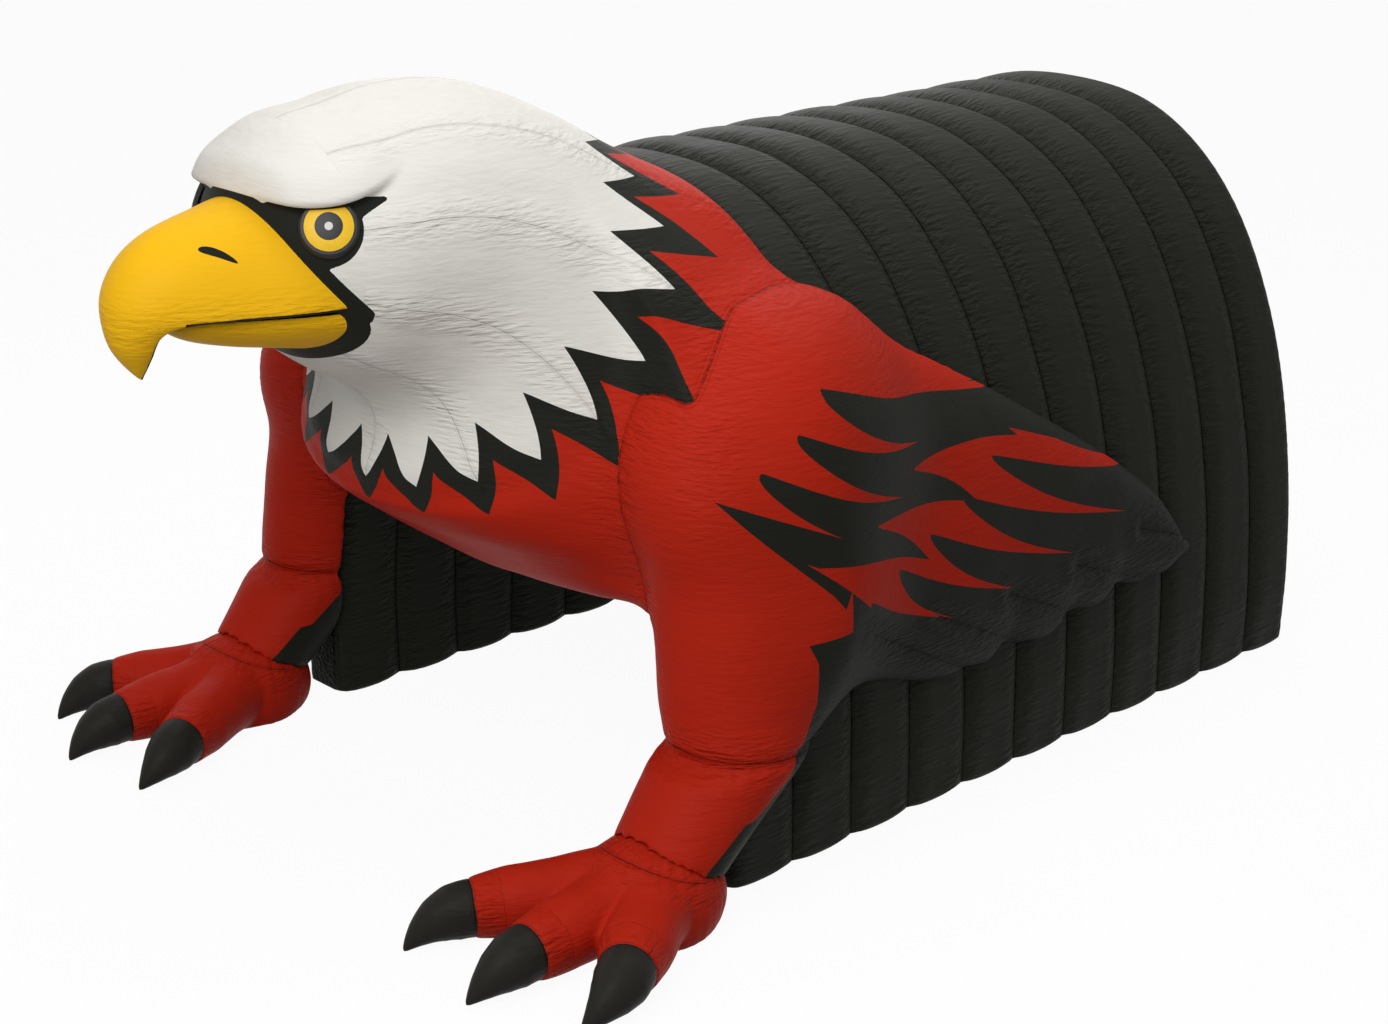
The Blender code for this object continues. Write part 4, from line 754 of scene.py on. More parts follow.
def beak_colour(finish):
    """Yellow with the dark line of the mouth and a slit nostril."""
    x, y, z = finish.place()
    mouth = abs(z - GAPE).under(0.016) * y.over(-1.92)
    hook = ((z - 2.65) / 0.31).curve(HOOK_EDGE)
    mouth = mouth.most((y + 2.016 - hook).over(0.0) * y.under(-1.915) * z.under(2.945))
    ahead, above = y + 1.725, z - 3.262 + (y + 1.725) * 0.45
    slit = (ahead * ahead * 210.0 + (above + ahead * ahead * 3.0) ** 2.0 * 2600.0).under(1.0)
    return mouth.most(slit).mix(hue("yellow"), hue("black"))


def plastic(name, colour, roughness):
    """Moulded plastic with a fine grain and scuffs."""
    finish = Finish(name, Specular_IOR_Level=0.4)
    tone = finish.noise(14.0, 4.0)
    scuff = finish.noise(60.0, 2.0, (1, 1, 0.15)).rise(0.62, 0.74)
    bright = tuple(min(1.0, level * 1.9 + 0.02) for level in colour)
    base = (tone * 0.3).mix(colour, darker(colour, 0.7))
    finish.give(Base_Color=(scuff * 0.18).mix(base, bright))
    finish.give(Roughness=roughness + tone * 0.1 + scuff * 0.1)
    finish.bump(finish.noise(900.0, 2.0) * 0.00025)
    return finish.material


def metal(name, colour, roughness):
    """Plated steel with a brushed grain."""
    finish = Finish(name, Metallic=1.0)
    grain = finish.noise(160.0, 2.0, (0.2, 1, 1))
    finish.give(Base_Color=(grain * 0.35).mix(colour, darker(colour, 0.6)))
    finish.give(Roughness=roughness - 0.06 + grain * 0.14)
    finish.bump(grain * 0.0001)
    return finish.material


def vinyl(name):
    """The eye's printed vinyl: highlight, pupil, streaked iris and dark rim, from the middle out."""
    finish = Finish(name, Roughness=0.38, Specular_IOR_Level=0.25)
    ring, streak = finish.kept("ring"), finish.noise(24.0, 3.0)
    colour = streak.mix(darker(hue("amber"), 0.85), hue("amber"))
    colour = ring.over(PUPIL).mix(ring.over(HIGHLIGHT).mix(hue("highlight"), hue("pupil")), colour)
    finish.give(Base_Color=ring.over(RIM).mix(colour, hue("pupil")))
    finish.bump(streak * 0.0006)
    return finish.material


FINISHES = {}


def finishes(name):
    """A finish of the object; all of them are made at the first call."""
    if not FINISHES:
        # The ribs' black is lighter than the other black cloth: painted sheen.
        FINISHES["rib"] = nylon("black nylon ribs", hue("rib"), wrinkle=0.013, stretch=(1.7, 0.28, 1.7))
        FINISHES["black"] = nylon("black nylon", hue("black"))
        FINISHES["red"] = nylon("red nylon", hue("red"), wrinkle=0.011)
        FINISHES["flank"] = nylon("feathered nylon", flank_colour, 0.5, flank_seams, 0.011)
        # line=0.13 keeps the painted shade in the hood's seam valleys faint.
        FINISHES["bird"] = nylon("hood and breast nylon", bird_colour, 0.52, bird_seams, 0.007, line=0.13)
        FINISHES["yellow"] = nylon("yellow nylon", beak_colour, 0.46, wrinkle=0.005)
        FINISHES["charcoal"] = nylon("charcoal nylon", hue("charcoal"), 0.42, wrinkle=0.003)
        FINISHES["vinyl"] = vinyl("eye vinyl")
        FINISHES["blue"] = plastic("blue polyethylene", hue("housing"), 0.42)
        FINISHES["dark"] = plastic("dark plastic", hue("fitting"), 0.5)
        FINISHES["steel"] = metal("plated steel", hue("steel"), 0.3)
    return FINISHES[name]


# Pieces


def seam_wobble(number, share):
    """How far a hand-guided seam strays along the tunnel."""
    return 0.005 * np.sin(share * 23 + number * 1.9) + 0.003 * np.sin(share * 61 + number * 4.3)


def rib_mesh(number, stations, depth):
    """One air rib: its section carried over the arch, gathered along both seams and rounded at the feet."""
    first, last = number == 0, number == RIBS - 1
    outer_u = np.array([*RIB_EDGE, 0.5, *(1 - place for place in RIB_EDGE[::-1])])
    inner_u = np.array([*(1 - place for place in RIB_INSIDE), 0.5, *RIB_INSIDE[::-1]])
    share = np.linspace(0, 1, stations)
    run = share * ARCH.length
    foot = np.minimum(run, ARCH.length - run)[:, None]
    gather = ripple(run, number * 3.1)[:, None] * np.exp(-(((outer_u - 0.09) / 0.075) ** 2))
    gather += 0.55 * ripple(run, number * 3.1 + 1.9)[:, None] * np.exp(-(((outer_u - 0.92) / 0.06) ** 2))
    slow = 1 + 0.1 * ripple(run, number + 0.4, (0.55, 0.9, 1.6))[:, None]
    puff = OUTER * (1 - np.abs(2 * outer_u - 1) ** 2.6) * slow * (0.5 + 0.5 * smooth_step(foot, 0.0, 0.5))
    outer_h = puff + depth * gather
    inner_h = -WALL - INNER * (1 - np.abs(2 * inner_u - 1) ** 2.6) * slow
    inner_h += 0.006 * ripple(run, number * 5.3)[:, None] * np.exp(-(((inner_u - 0.1) / 0.08) ** 2))
    start = number * PITCH + seam_wobble(number, share)[:, None] * (0 if first else 1)
    end = (number + 1) * PITCH + seam_wobble(number + 1, share)[:, None] * (0 if last else 1)
    u = np.concatenate([outer_u, inner_u])
    heights, ys = np.concatenate([outer_h, inner_h], 1), start + (end - start) * u
    middle = -WALL / 2
    if first or last:
        edge, radius = (0.0, 0.05) if first else (LENGTH, 0.085)
        close = np.clip(1 - np.abs(ys - edge) / radius, 0, 1)
        drop_in = radius * (1 - np.sqrt(1 - close**2))
        heights += np.sign(middle - heights) * np.minimum(drop_in, np.abs(middle - heights))
        ys = np.clip(ys, 0, LENGTH)
    round_off = np.sqrt(1 - np.clip(1 - foot / 0.045, 0, 1) ** 2)
    heights = middle + (heights - middle) * (0.90 + 0.10 * round_off)
    centre = (start + end) / 2
    ys = centre + (ys - centre) * (0.975 + 0.025 * round_off)
    grid = ARCH.point(share[:, None], heights, ys)
    grid[[0, -1], :, 2] = 0.003 + 0.014 * np.abs(2 * u - 1) ** 3
    points, faces = tube_mesh(grid)
    points[-2:, 2] = 0.0
    seam = np.minimum(np.abs(ys - start), np.abs(ys - end))
    return points, faces, np.append(seam, [0.1, 0.1])


def build_ribs(settings):
    for number in range(RIBS):
        points, faces, seam = rib_mesh(number, settings.rib_stations, settings.rib_gathers)
        made = face_out(new_object(f"air_rib_{number + 1:02d}", points, faces, "rib"))
        note(made, "seam", seam)
        settle(made, f"tunnel_rib_{number + 1:02d}", slot="black_fabric", fill=1.0)


def body_grid(rows, turns):
    """Points of the bird's bent body at row numbers and turns round its section."""
    along, rise, width, depth, tilt = np.moveaxis(smooth_rows(BODY_ROWS, rows), -1, 0)
    tilt = np.radians(tilt)
    across = np.cos(turns) * (np.abs(width) * BODY_WIDTH / 2)
    lift = np.sin(turns) * (np.abs(depth) * BODY_DEPTH / 2)
    y = along * BODY_LENGTH + np.sin(tilt) * lift
    z = BELLY + rise * BODY_RISE + np.cos(tilt) * lift
    return np.stack([across, y, z], -1)


def whole_turn(count):
    return np.linspace(0, 2 * np.pi, count, endpoint=False)


def body_skin():
    """The body as one closed skin."""
    rows, turns = np.meshgrid(np.linspace(0.05, 13.9, 84), whole_turn(96), indexing="ij")
    return closed_skin("body_guide", body_grid(rows, turns))


def body_places(points):
    """Row number and turn of the nearest place on the body's form, for points in the shared frame."""
    points = points - SHIFT
    rows, turns = np.meshgrid(np.linspace(0.3, 13.7, 90), whole_turn(120), indexing="ij")
    tree = KDTree(rows.size)
    for number, point in enumerate(body_grid(rows, turns).reshape(-1, 3).tolist()):
        tree.insert(point, number)
    tree.balance()
    nearest = np.array([tree.find(point)[1] for point in points.tolist()])
    row, turn = rows.reshape(-1)[nearest], turns.reshape(-1)[nearest]
    for _ in range(4):
        by_row = (body_grid(row + 0.01, turn) - body_grid(row - 0.01, turn)) / 0.02
        by_turn = (body_grid(row, turn + 0.01) - body_grid(row, turn - 0.01)) / 0.02
        gap = points - body_grid(row, turn)
        a, b, c = (by_row**2).sum(1), (by_row * by_turn).sum(1), (by_turn**2).sum(1)
        e, f = (by_row * gap).sum(1), (by_turn * gap).sum(1)
        whole = np.maximum(a * c - b * b, 1e-9)
        row = np.clip(row + np.clip((c * e - b * f) / whole, -0.3, 0.3), 0.1, 13.9)
        turn = turn + np.clip((a * f - b * e) / whole, -0.1, 0.1)
    return row, turn


def beak_skins():
    """Closed skins of the upper and lower beak."""
    base = BODY_ROWS[0][0] * BODY_LENGTH + BEAK_LENGTH / 2
    turns = whole_turn(72)
    over, half = np.sin(turns) > 0, np.cos(turns) * BEAK_WIDTH / 2
    rows = smooth_rows(BEAK_ROWS, np.linspace(0, len(BEAK_ROWS) - 1, 70))
    along, width, rise, drop_down, tilt, lift = rows.T[:, :, None]
    tilt = np.radians(tilt)
    size = np.where(over, rise, np.maximum(drop_down, 0)) * BEAK_HEIGHT * np.sin(turns)
    y = base - along * BEAK_LENGTH + np.sin(tilt) * size
    z = GAPE + lift * BEAK_HEIGHT + np.cos(tilt) * size
    upper = closed_skin("beak_upper_skin", np.stack([np.abs(width) * half, y, z], -1))
    rows = smooth_rows(JAW_ROWS, np.linspace(0, len(JAW_ROWS) - 1, 48))
    along, width, drop_down = rows.T[:, :, None]
    size = np.where(over, 0.02, np.abs(drop_down)) * JAW * np.sin(turns)
    x = np.abs(width) * half
    y = np.broadcast_to(base - along * BEAK_LENGTH, x.shape)
    lower = closed_skin("beak_lower_skin", np.stack([x, y, GAPE - 0.006 + size], -1))
    return upper, lower


def build_beak():
    for made, node in zip(beak_skins(), ("beak_upper", "beak_lower")):
        even(made, 0.014, 3)
        dress(made, "yellow")
        note(made, "seam", np.abs(coordinates(made)[:, 2] - GAPE) + 0.01)
        settle(made, node, slot="yellow_fabric", fill=1.0)


def build_eyes(settings):
    """A domed eye on each side: dark rim, amber iris and round pupil."""
    turns, steps = whole_turn(64), np.linspace(0.0, 1.0, 30)
    dome = np.sqrt(1 - steps**2) * settings.eye_dome + 0.006 * np.exp(-(((steps - 0.9) / 0.06) ** 2))
    for side, word in ((1, "left"), (-1, "right")):
        out = Vector((side * EYE_WAY[0], *EYE_WAY[1:])).normalized()
        across = out.cross(Vector((0, 0, 1))).normalized()
        up = across.cross(out)
        ring = np.cos(turns)[:, None] * np.array(across) + np.sin(turns)[:, None] * np.array(up)
        place = np.array(EYE_PLACE) * (side, 1, 1)
        grid = place + dome[:, None, None] * np.array(out) + EYE_RADIUS * steps[:, None, None] * ring
        made = new_object(f"eye_dome_{word}", grid.reshape(-1, 3), grid_faces(30, 64), "vinyl")
        if np.dot(normals(made).mean(0), np.array(out)) < 0:
            made.data.flip_normals()
        note(made, "ring", np.repeat(steps, 64))
        settle(made, f"eye_{word}", slot="amber_print", fill=1.0)


def level_rows(rows, count):
    """Level rings from rows of x, y, z, half width and half depth."""
    turns = whole_turn(count)
    x, y, z, wide, deep = np.asarray(rows).T[:, :, None]
    x, y = x + np.cos(turns) * np.abs(wide), y + np.sin(turns) * np.abs(deep)
    return np.stack([x, y, np.broadcast_to(z, x.shape)], -1)


def leg_skin():
    """Shin, knee and shoulder as one closed skin on the left side."""
    rows = []
    for share in (1.3, 1.0, 0.75, 0.4, 0.1):
        y, z, half = (a + (b - a) * share for a, b in ((KNEE_Y, ANKLE_Y), (KNEE_Z, ANKLE_Z), (KNEE_HALF, ANKLE_HALF)))
        rows.append((LEG_X, y, z, half, half * 1.15))
    rows.append((LEG_X, KNEE_Y, KNEE_Z, KNEE_HALF - 0.012, KNEE_HALF - 0.012))
    for rise, inward, back, width, depth in SHOULDER_ROWS:
        x, y, z = LEG_X - inward * SHOULDER_WIDTH, back * SHOULDER_DEPTH, rise * SHOULDER_TOP
        rows.append((x, y, z, width * SHOULDER_WIDTH / 2, depth * SHOULDER_DEPTH / 2))
    rows = smooth_rows(rows, np.linspace(0, len(rows) - 1, 110))
    return closed_skin("leg_guide", level_rows(rows, 64))


def wing_heights(top, low):
    """Heights of the wing's two edges, which are given as shares of its own height."""
    return (WING_FOOT + (WING_TOP - WING_FOOT) * edge for edge in (top, low))


def wing_skin():
    """The wing as one padded form along the left flank."""
    rows = smooth_rows(WING_EDGES, np.linspace(0, len(WING_EDGES) - 1, 90))
    along, top, low = np.moveaxis(rows, -1, 0)
    top, low = wing_heights(top, low)
    y = WING_START + along * WING_LENGTH
    for place, deep in WING_NOTCHES:
        low = low + deep * np.exp(-((np.maximum(y - place, 0) / 0.14 + np.maximum(place - y, 0) / 0.07) ** 2))
    across = np.concatenate([np.linspace(0, 1, 44), np.linspace(1, 0, 20)[1:-1]])
    over = np.arange(len(across)) < 44
    crown = np.sqrt(np.clip(1 - np.abs(2 * across - 1) ** 2.4, 0, 1))
    swell = WING_THICKNESS * (1 - 0.55 * along)[:, None] * crown
    share = ARCH.share_at(low[:, None] + (top - low)[:, None] * across)
    height = np.where(over, OUTER + 0.01 + swell, OUTER - 0.12)
    return closed_skin("wing_guide", ARCH.point(share, height, y[:, None]))


def tunnel_block():
    """The room that the tunnel takes, passage included, which pieces sewn over it are cut by."""
    ring = ARCH.point(np.linspace(0, 1, 160), OUTER - 0.004, 0.0)
    ring[[0, -1], 2] = -0.3
    return closed_skin("tunnel_guide", np.stack([ring + (0, y, 0) for y in np.linspace(0.001, LENGTH, 30)]))


def floor_block():
    """The ground, which the feet and the breast are cut level with."""
    corners = ((-4, -4), (4, -4), (4, 7), (-4, 7))
    return closed_skin("floor_guide", np.array([[(x, y, z) for x, y in corners] for z in (-1.0, 0.0)]))


def flank_parts(points):
    """Which of the leg's and wing's solids each place on the flank belongs to."""
    x, y, z = (points - SHIFT).T
    places, top, low = np.array(WING_EDGES).T
    along = (y - WING_START) / WING_LENGTH
    top, low = wing_heights(*(np.interp(along, places, edge) for edge in (top, low)))
    across = (z - low) / np.maximum(top - low, 0.05)
    part = np.where(z < KNEE_Z, "shin", "shoulder")
    slant = y > -0.48 + 0.85 * (z - 0.3) + 0.40 * (np.abs(x) - LEG_X)
    part = np.where(slant & (z < 1.5), "leg_panel", part)
    wing = np.where(across < 0.47, "wing_secondaries", "wing_coverts")
    wing = np.where(across < 0.22, "wing_primaries", wing)
    return np.where((y > np.interp(z, *WING_ROOT)) & (z > 0.62), wing, part)


def face_mean(made, name):
    """The mean over each face of a number that the skin keeps for its points."""
    values = kept_numbers(made, name)[read(made.data.loops, "vertex_index", kind=np.int64)]
    starts = read(made.data.polygons, "loop_start", kind=np.int64)
    return np.add.reduceat(values, starts) / np.diff(np.append(starts, len(values)))


def kept_numbers(made, name):
    """The number that the skin keeps for each point."""
    return read(made.data.attributes[name].data, "value", kind=np.float32)


def split(made, labels):
    """Takes a skin apart by the label of each face; what meets at a border shares its place."""
    loops = [tuple(face.vertices) for face in made.data.polygons]
    points, facing = coordinates(made), normals(made)
    kept = {name: kept_numbers(made, name) for name in KEPT}
    pieces = {}
    for label in np.unique(labels):
        faces = [loops[i] for i in np.flatnonzero(labels == label)]
        used = np.unique(np.concatenate(faces))
        order = {int(v): i for i, v in enumerate(used)}
        faces = [[order[v] for v in face] for face in faces]
        piece = new_object(label + "_skin", points[used], faces, shift=False)
        for key, values in kept.items():
            note(piece, key, values[used])
        piece.data.normals_split_custom_set_from_vertices(facing[used].tolist())
        pieces[str(label)] = piece
    drop(made)
    return pieces


def mantle_skin():
    """The padded band over the first ribs as one closed skin."""
    share, u = np.linspace(MANTLE_START, MANTLE_START + MANTLE_SPAN, 150), np.linspace(0, 1, 30)
    swell = MANTLE_THICKNESS * np.sqrt(1 - u**2.4)
    rim = np.sin(np.pi * np.clip((share - MANTLE_START) / MANTLE_SPAN, 0, 1)) ** 0.25
    floor = np.full((len(share), 1), OUTER - 0.10)
    heights = np.concatenate([floor, OUTER + rim[:, None] * swell, floor], 1)
    rear = MANTLE_LENGTH - 0.06 + 0.20 * np.abs(2 * share - 1) ** 1.5 / MANTLE_SPAN**1.5
    ys = np.concatenate([[-0.02], u, [1.0]]) * rear[:, None]
    return closed_skin("mantle_guide", ARCH.point(share[:, None], heights, ys))


def capsule(points, first, second, one, two):
    """Distances in the shared frame to a line whose thickness goes from one to two."""
    first, second = np.array(first) + SHIFT, np.array(second) + SHIFT
    way = second - first
    share = np.clip((points - first) @ way / (way @ way), 0, 1)
    return np.linalg.norm(points - first - share[:, None] * way, axis=1) - (one + (two - one) * share)


def above_brow(points):
    """How far places in the shared frame lie above the lower edge of the brow."""
    off = points[:, 1] - FRONT_Y - BROW_Y
    return points[:, 2] - BROW_Z - np.where(off < 0, 1.9, 0.9) * off**2


class Bird:
    """The bird's forms as distances: the leg with the wing, the body and the mantle flow into each other."""

    def __init__(self, blend):
        self.blend = blend
        guides = {"leg": leg_skin(), "wing": wing_skin(), "body": body_skin(), "mantle": mantle_skin()}
        self.parts = {name: Skin(made) for name, made in guides.items()}
        drop(*guides.values())

    def measures(self, points, reach=9.0):
        """How far points in the shared frame are outside the flank, the body and the mantle."""
        found = {name: skin.off(points, reach) for name, skin in self.parts.items()}
        flank = soft_min(found["leg"], found["wing"], self.blend * 2.4)
        return np.stack([flank, found["body"], found["mantle"]])

    def merged(self, measures):
        flank, body, mantle = measures
        return soft_min(soft_min(flank, body, self.blend), mantle, self.blend * 0.7)

    def skin(self, low, high, cell, times=4):
        """The flowing skin inside a block, closed at the block's sides."""
        low, high = np.array(low) + SHIFT, np.array(high) + SHIFT
        rough = lattice(low, high, cell * times)
        coarse = self.measures(rough.reshape(-1, 3)).reshape(3, *rough.shape[:3])
        merged = self.merged(np.stack([finer(part, times) for part in coarse]))
        close = np.abs(merged) < cell * times * 0.9
        merged[close] = self.merged(self.measures(np.argwhere(close) * cell + low, 0.5))
        points, faces = net(merged, low, cell)
        made = face_out(new_object("bird_mass", points, faces, shift=False))
        return baked(modify(made, "SUBSURF", levels=1, render_levels=1))


def bird_mass(settings, bird, foot):
    """The bird's left half with even faces, cut away where the tunnel, the floor and the foot are."""
    guides = (tunnel_block(), floor_block())
    mass = bird.skin(BIRD_LOW, BIRD_HIGH, settings.cell * 2)
    combine(mass, [*guides, foot], "DIFFERENCE")
    even(mass, settings.cell, 4)
    drop(*guides)
    return mass


def dark_mask(points, row, brow):
    """Below 0 in the dark rim round the beak and the dark patch between the beak and the eye."""
    beaks = beak_skins()
    rim = np.minimum(*(Skin(beak).off(points, 0.15, False) for beak in beaks)) - 0.042
    drop(*beaks)
    patch = np.minimum.reduce([capsule(points, *line) for line in EYE_PATCH])
    return np.where(row < 4.5, np.maximum(np.minimum(rim, patch), brow - 0.006), 0.2)


def seam_distances(points, mine, foot):
    """How far places on the bird are from the seams at the flank, the foot, the tunnel, the knee and the feathers."""
    x, y, z = (points - SHIFT).T
    ahead, below = y + FAN_AHEAD, FAN_HEIGHT - z
    quill = quill_seam(np.hypot(ahead, below), np.degrees(np.arctan2(below, ahead)))
    return {
        "flank": np.abs(mine) * SEAM_SLOPE,
        "foot": Skin(foot).off(points, 0.3, False),
        "tunnel": np.where(y > -0.02, np.abs(ARCH.depth(points, OUTER)), NO_SEAM),
        "knee": np.where((mine > 0) & (y < 0.6), np.abs(z - KNEE_SEAM), NO_SEAM),
        "quill": np.where((mine > 0) & (x > 1.5), quill, NO_SEAM),
    }


def gathered(points, off):
    """Gathers of the cloth, strongest at the seams that off tells the distances from."""
    x, y, z = (points - SHIFT).T
    total = ripple(np.arctan2(z - 1.7, y - 0.3), 2.0, (0.055, 0.075, 0.11)) * np.exp(-off["flank"] / 0.14)
    total += ripple(points[:, 1] + 0.4 * z, 5.0, (0.06, 0.09, 0.13)) * np.exp(-off["tunnel"] / 0.10)
    swing = ripple(np.arctan2(x - LEG_X, y) * 0.35, 3.0, (0.05, 0.08, 0.12))
    return total + swing * (np.exp(-off["knee"] / 0.10) + np.exp(-off["foot"] / 0.08))


def pinched(off):
    """How deep the seams draw the cloth in, in metres."""
    depth = 0.020 * np.exp(-np.abs(off["quill"] / 0.042) ** 1.5) + 0.022 * np.exp(-((off["knee"] / 0.03) ** 2))
    return depth + 0.010 * np.exp(-((off["flank"] / 0.022) ** 2))


def brow_ridge(points, row, brow):
    """1 along the brow over the eye, falling to 0 above, below, behind and in front of it."""
    y = points[:, 1] - FRONT_Y
    ridge = smooth_step(brow, -0.015, 0.02) * np.exp(-((np.maximum(brow - 0.04, 0) / 0.15) ** 2)) * (row < 5)
    return ridge * (smooth_step(-y, 0.86, 1.22) * smooth_step(y, -1.50, -1.33))


def sewn_parts(mass):
    """For each face of the whole bird, the name of the piece that it belongs to."""
    hood, edging = hood_rows(np.arctan2(face_mean(mass, "turn_y"), face_mean(mass, "turn_x")))
    centres, row = read(mass.data.polygons, "center", 3), face_mean(mass, "row")
    front = np.where(row < hood, "head", np.where(row < edging, "collar", "chest"))
    front = np.where((front == "chest") & (face_mean(mass, "back") > 0), "mantle", front)
    sides = np.where(centres[:, 0] > 0, "_left", "_right")
    return np.where(face_mean(mass, "mine") >= 0, np.char.add(flank_parts(centres), sides), front)


def build_bird(settings):
    """Hood, edging, breast, legs, shoulders, wings and mantle: one puffed mass, parted by its sewn seams."""
    bird, foot = Bird(settings.blend), foot_skin()
    mass = bird_mass(settings, bird, foot)
    points, facing = coordinates(mass), normals(mass)
    flank, body, mantle = bird.measures(points, 0.5)
    row, turn = body_places(points)
    inside = (points[:, 1] - FRONT_Y > -0.03) & (ARCH.depth(points, -WALL / 2) > 0)
    row = np.where(inside, INSIDE_ROW, row)
    mine = np.minimum(body, mantle) - flank - settings.seam_shift
    off = seam_distances(points, mine, foot)
    drop(foot)
    brow, crown = above_brow(points), capsule(points, *CROWN, 0.0, 0.0)
    ridge = brow_ridge(points, row, brow)
    swell = settings.brow * ridge + settings.crown * np.exp(-((crown / 0.22) ** 2))
    swell += 0.005 * lumps(points, 3.0, 0.16) + settings.gathers * gathered(points, off) - pinched(off)
    moved = points + facing * swell[:, None]
    moved[:, 2] = (moved[:, 2] - 0.03 * ridge * np.exp(-((brow / 0.06) ** 2))).clip(0)
    set_coordinates(mass, moved)
    mask, seam = dark_mask(points, row, brow), np.minimum.reduce([*off.values()])
    for name, values in zip((*KEPT, "back"), (seam, row, np.cos(turn), np.sin(turn), mask, mine, body - mantle)):
        note(mass, name, values)
    baked(modify(mass, "MIRROR", use_bisect_axis=(True, False, False), merge_threshold=0.002))
    for label, piece in split(mass, sewn_parts(mass)).items():
        word = label.replace("_left", "").replace("_right", "")
        dress(piece, "bird" if word in FRONT_SLOTS else "flank")
        settle(piece, label, slot=(FRONT_SLOTS | FLANK_SLOTS)[word], fill=1.0)


def toe_line(toe):
    """Root and tip of a toe's middle line on the left foot."""
    across, forward, _ = TOES[toe]
    start = np.array([LEG_X, ANKLE_Y, TOE / 2])
    end = start + (across * FOOT_WIDTH, -forward * FOOT_LENGTH, 0)
    end[2] = TOE_TIP / 2 + TALON_LIFT
    return start, end


def tube_grid(line, radii, sides=40):
    """Rings round a line of points, each square to it."""
    way = np.gradient(line, axis=0)
    way /= np.linalg.norm(way, axis=1)[:, None]
    across = np.cross(way, (0, 0, 1))
    across /= np.linalg.norm(across, axis=1)[:, None]
    up = np.cross(across, way)
    turns = whole_turn(sides)[:, None]
    return line[:, None] + radii[:, None, None] * (np.cos(turns) * across[:, None] + np.sin(turns) * up[:, None])


def foot_skin():
    """The left foot and its toes as one closed skin, flat underneath."""
    y, middle = ANKLE_Y - FOOT_LENGTH / 6, ANKLE_Z / 2
    rows = []
    for turn in np.linspace(0, np.pi, 30)[1:-1]:
        z, round_off = middle - np.cos(turn) * (FOOT_HEIGHT - middle), np.sin(turn)
        rows.append((LEG_X, y, z, round_off * FOOT_WIDTH / 2, round_off * FOOT_LENGTH / 2))
    foot = closed_skin("foot_guide", level_rows(rows, 56))
    toes = []
    shares = np.linspace(0, 1, 30)
    radii = (TOE + (TOE_TIP - TOE) * np.interp(shares, *TOE_SLIM)) / 2
    for toe in TOES:
        start, end = toe_line(toe)
        toes.append(closed_skin("toe_guide", tube_grid(start + (end - start) * shares[:, None], radii)))
    combine(foot, toes, "UNION")
    floor = floor_block()
    combine(foot, [floor], "DIFFERENCE")
    drop(floor, *toes)
    return foot


def both_sides(made, node, slot):
    """Names and settles a left piece, and its mirrored twin on the right."""
    made.name = node + "_skin_left"
    other = mirrored(made, node + "_skin_right")
    settle(made, node + "_left", slot=slot, fill=1.0)
    settle(other, node + "_right", slot=slot, fill=1.0)


def build_feet(settings):
    """Three-toed feet with gathered roots."""
    made = even(foot_skin(), 0.012, 8)
    points = coordinates(made)
    tips = np.array([toe_line(toe)[1] for toe in TOES]) + SHIFT
    ways = np.array([toe_line(toe)[1] - toe_line(toe)[0] for toe in TOES])
    ways /= np.linalg.norm(ways, axis=1)[:, None]
    off = points[:, None] - tips
    to_tip = np.where(np.linalg.norm(off, axis=2) > 0.22, NO_SEAM, np.abs(np.einsum("ptk,tk->pt", off, ways)))
    ankle = np.array([LEG_X, ANKLE_Y + FRONT_Y, 0.38])
    to_ankle = np.abs(np.linalg.norm((points - ankle) * (1, 1, 1.6), axis=1) - 0.33)
    seam = np.minimum(to_tip.min(axis=1), np.where(points[:, 2] > 0.2, to_ankle, NO_SEAM)).clip(0, NO_SEAM)
    turn = np.arctan2(points[:, 0] - LEG_X, points[:, 1] - ankle[1])
    near = np.exp(-np.linalg.norm(points - ankle, axis=1) / 0.3)
    lift = settings.foot_gathers * ripple(turn * 0.33, 4.0, (0.045, 0.06, 0.09)) * near
    points = points + normals(made) * (lift + 0.004 * lumps(points, 2.0, 0.07))[:, None]
    points[:, 2] = points[:, 2].clip(0)
    set_coordinates(made, points)
    note(made, "seam", seam)
    dress(made, "red")
    both_sides(made, "foot", "red_fabric")


def build_talons():
    """A curved talon sewn to each toe."""
    for toe, (_, _, turned) in TOES.items():
        start, end = toe_line(toe)
        way = (end - start) / np.linalg.norm(end - start)
        tip = end + np.array([turned, -1, 0]) / np.hypot(turned, 1) * TALON_LENGTH
        tip[2] = TALON_LIFT
        share = np.linspace(-0.03, 0.995, 40)
        s = share[:, None]
        line = (1 - s) ** 2 * end + 2 * s * (1 - s) * (end + way * TALON_LENGTH * 0.55) + s**2 * tip
        grid = tube_grid(line, np.interp(share, *TALON_SLIM) * TOE_TIP / 2)
        talon = closed_skin("talon_guide", grid, "charcoal")
        points = coordinates(talon)
        points[:, 2] = points[:, 2].clip(0)
        set_coordinates(talon, points)
        note(talon, "seam", np.abs((points - SHIFT - end) @ way))
        both_sides(talon, "talon_" + toe, "charcoal_fabric")


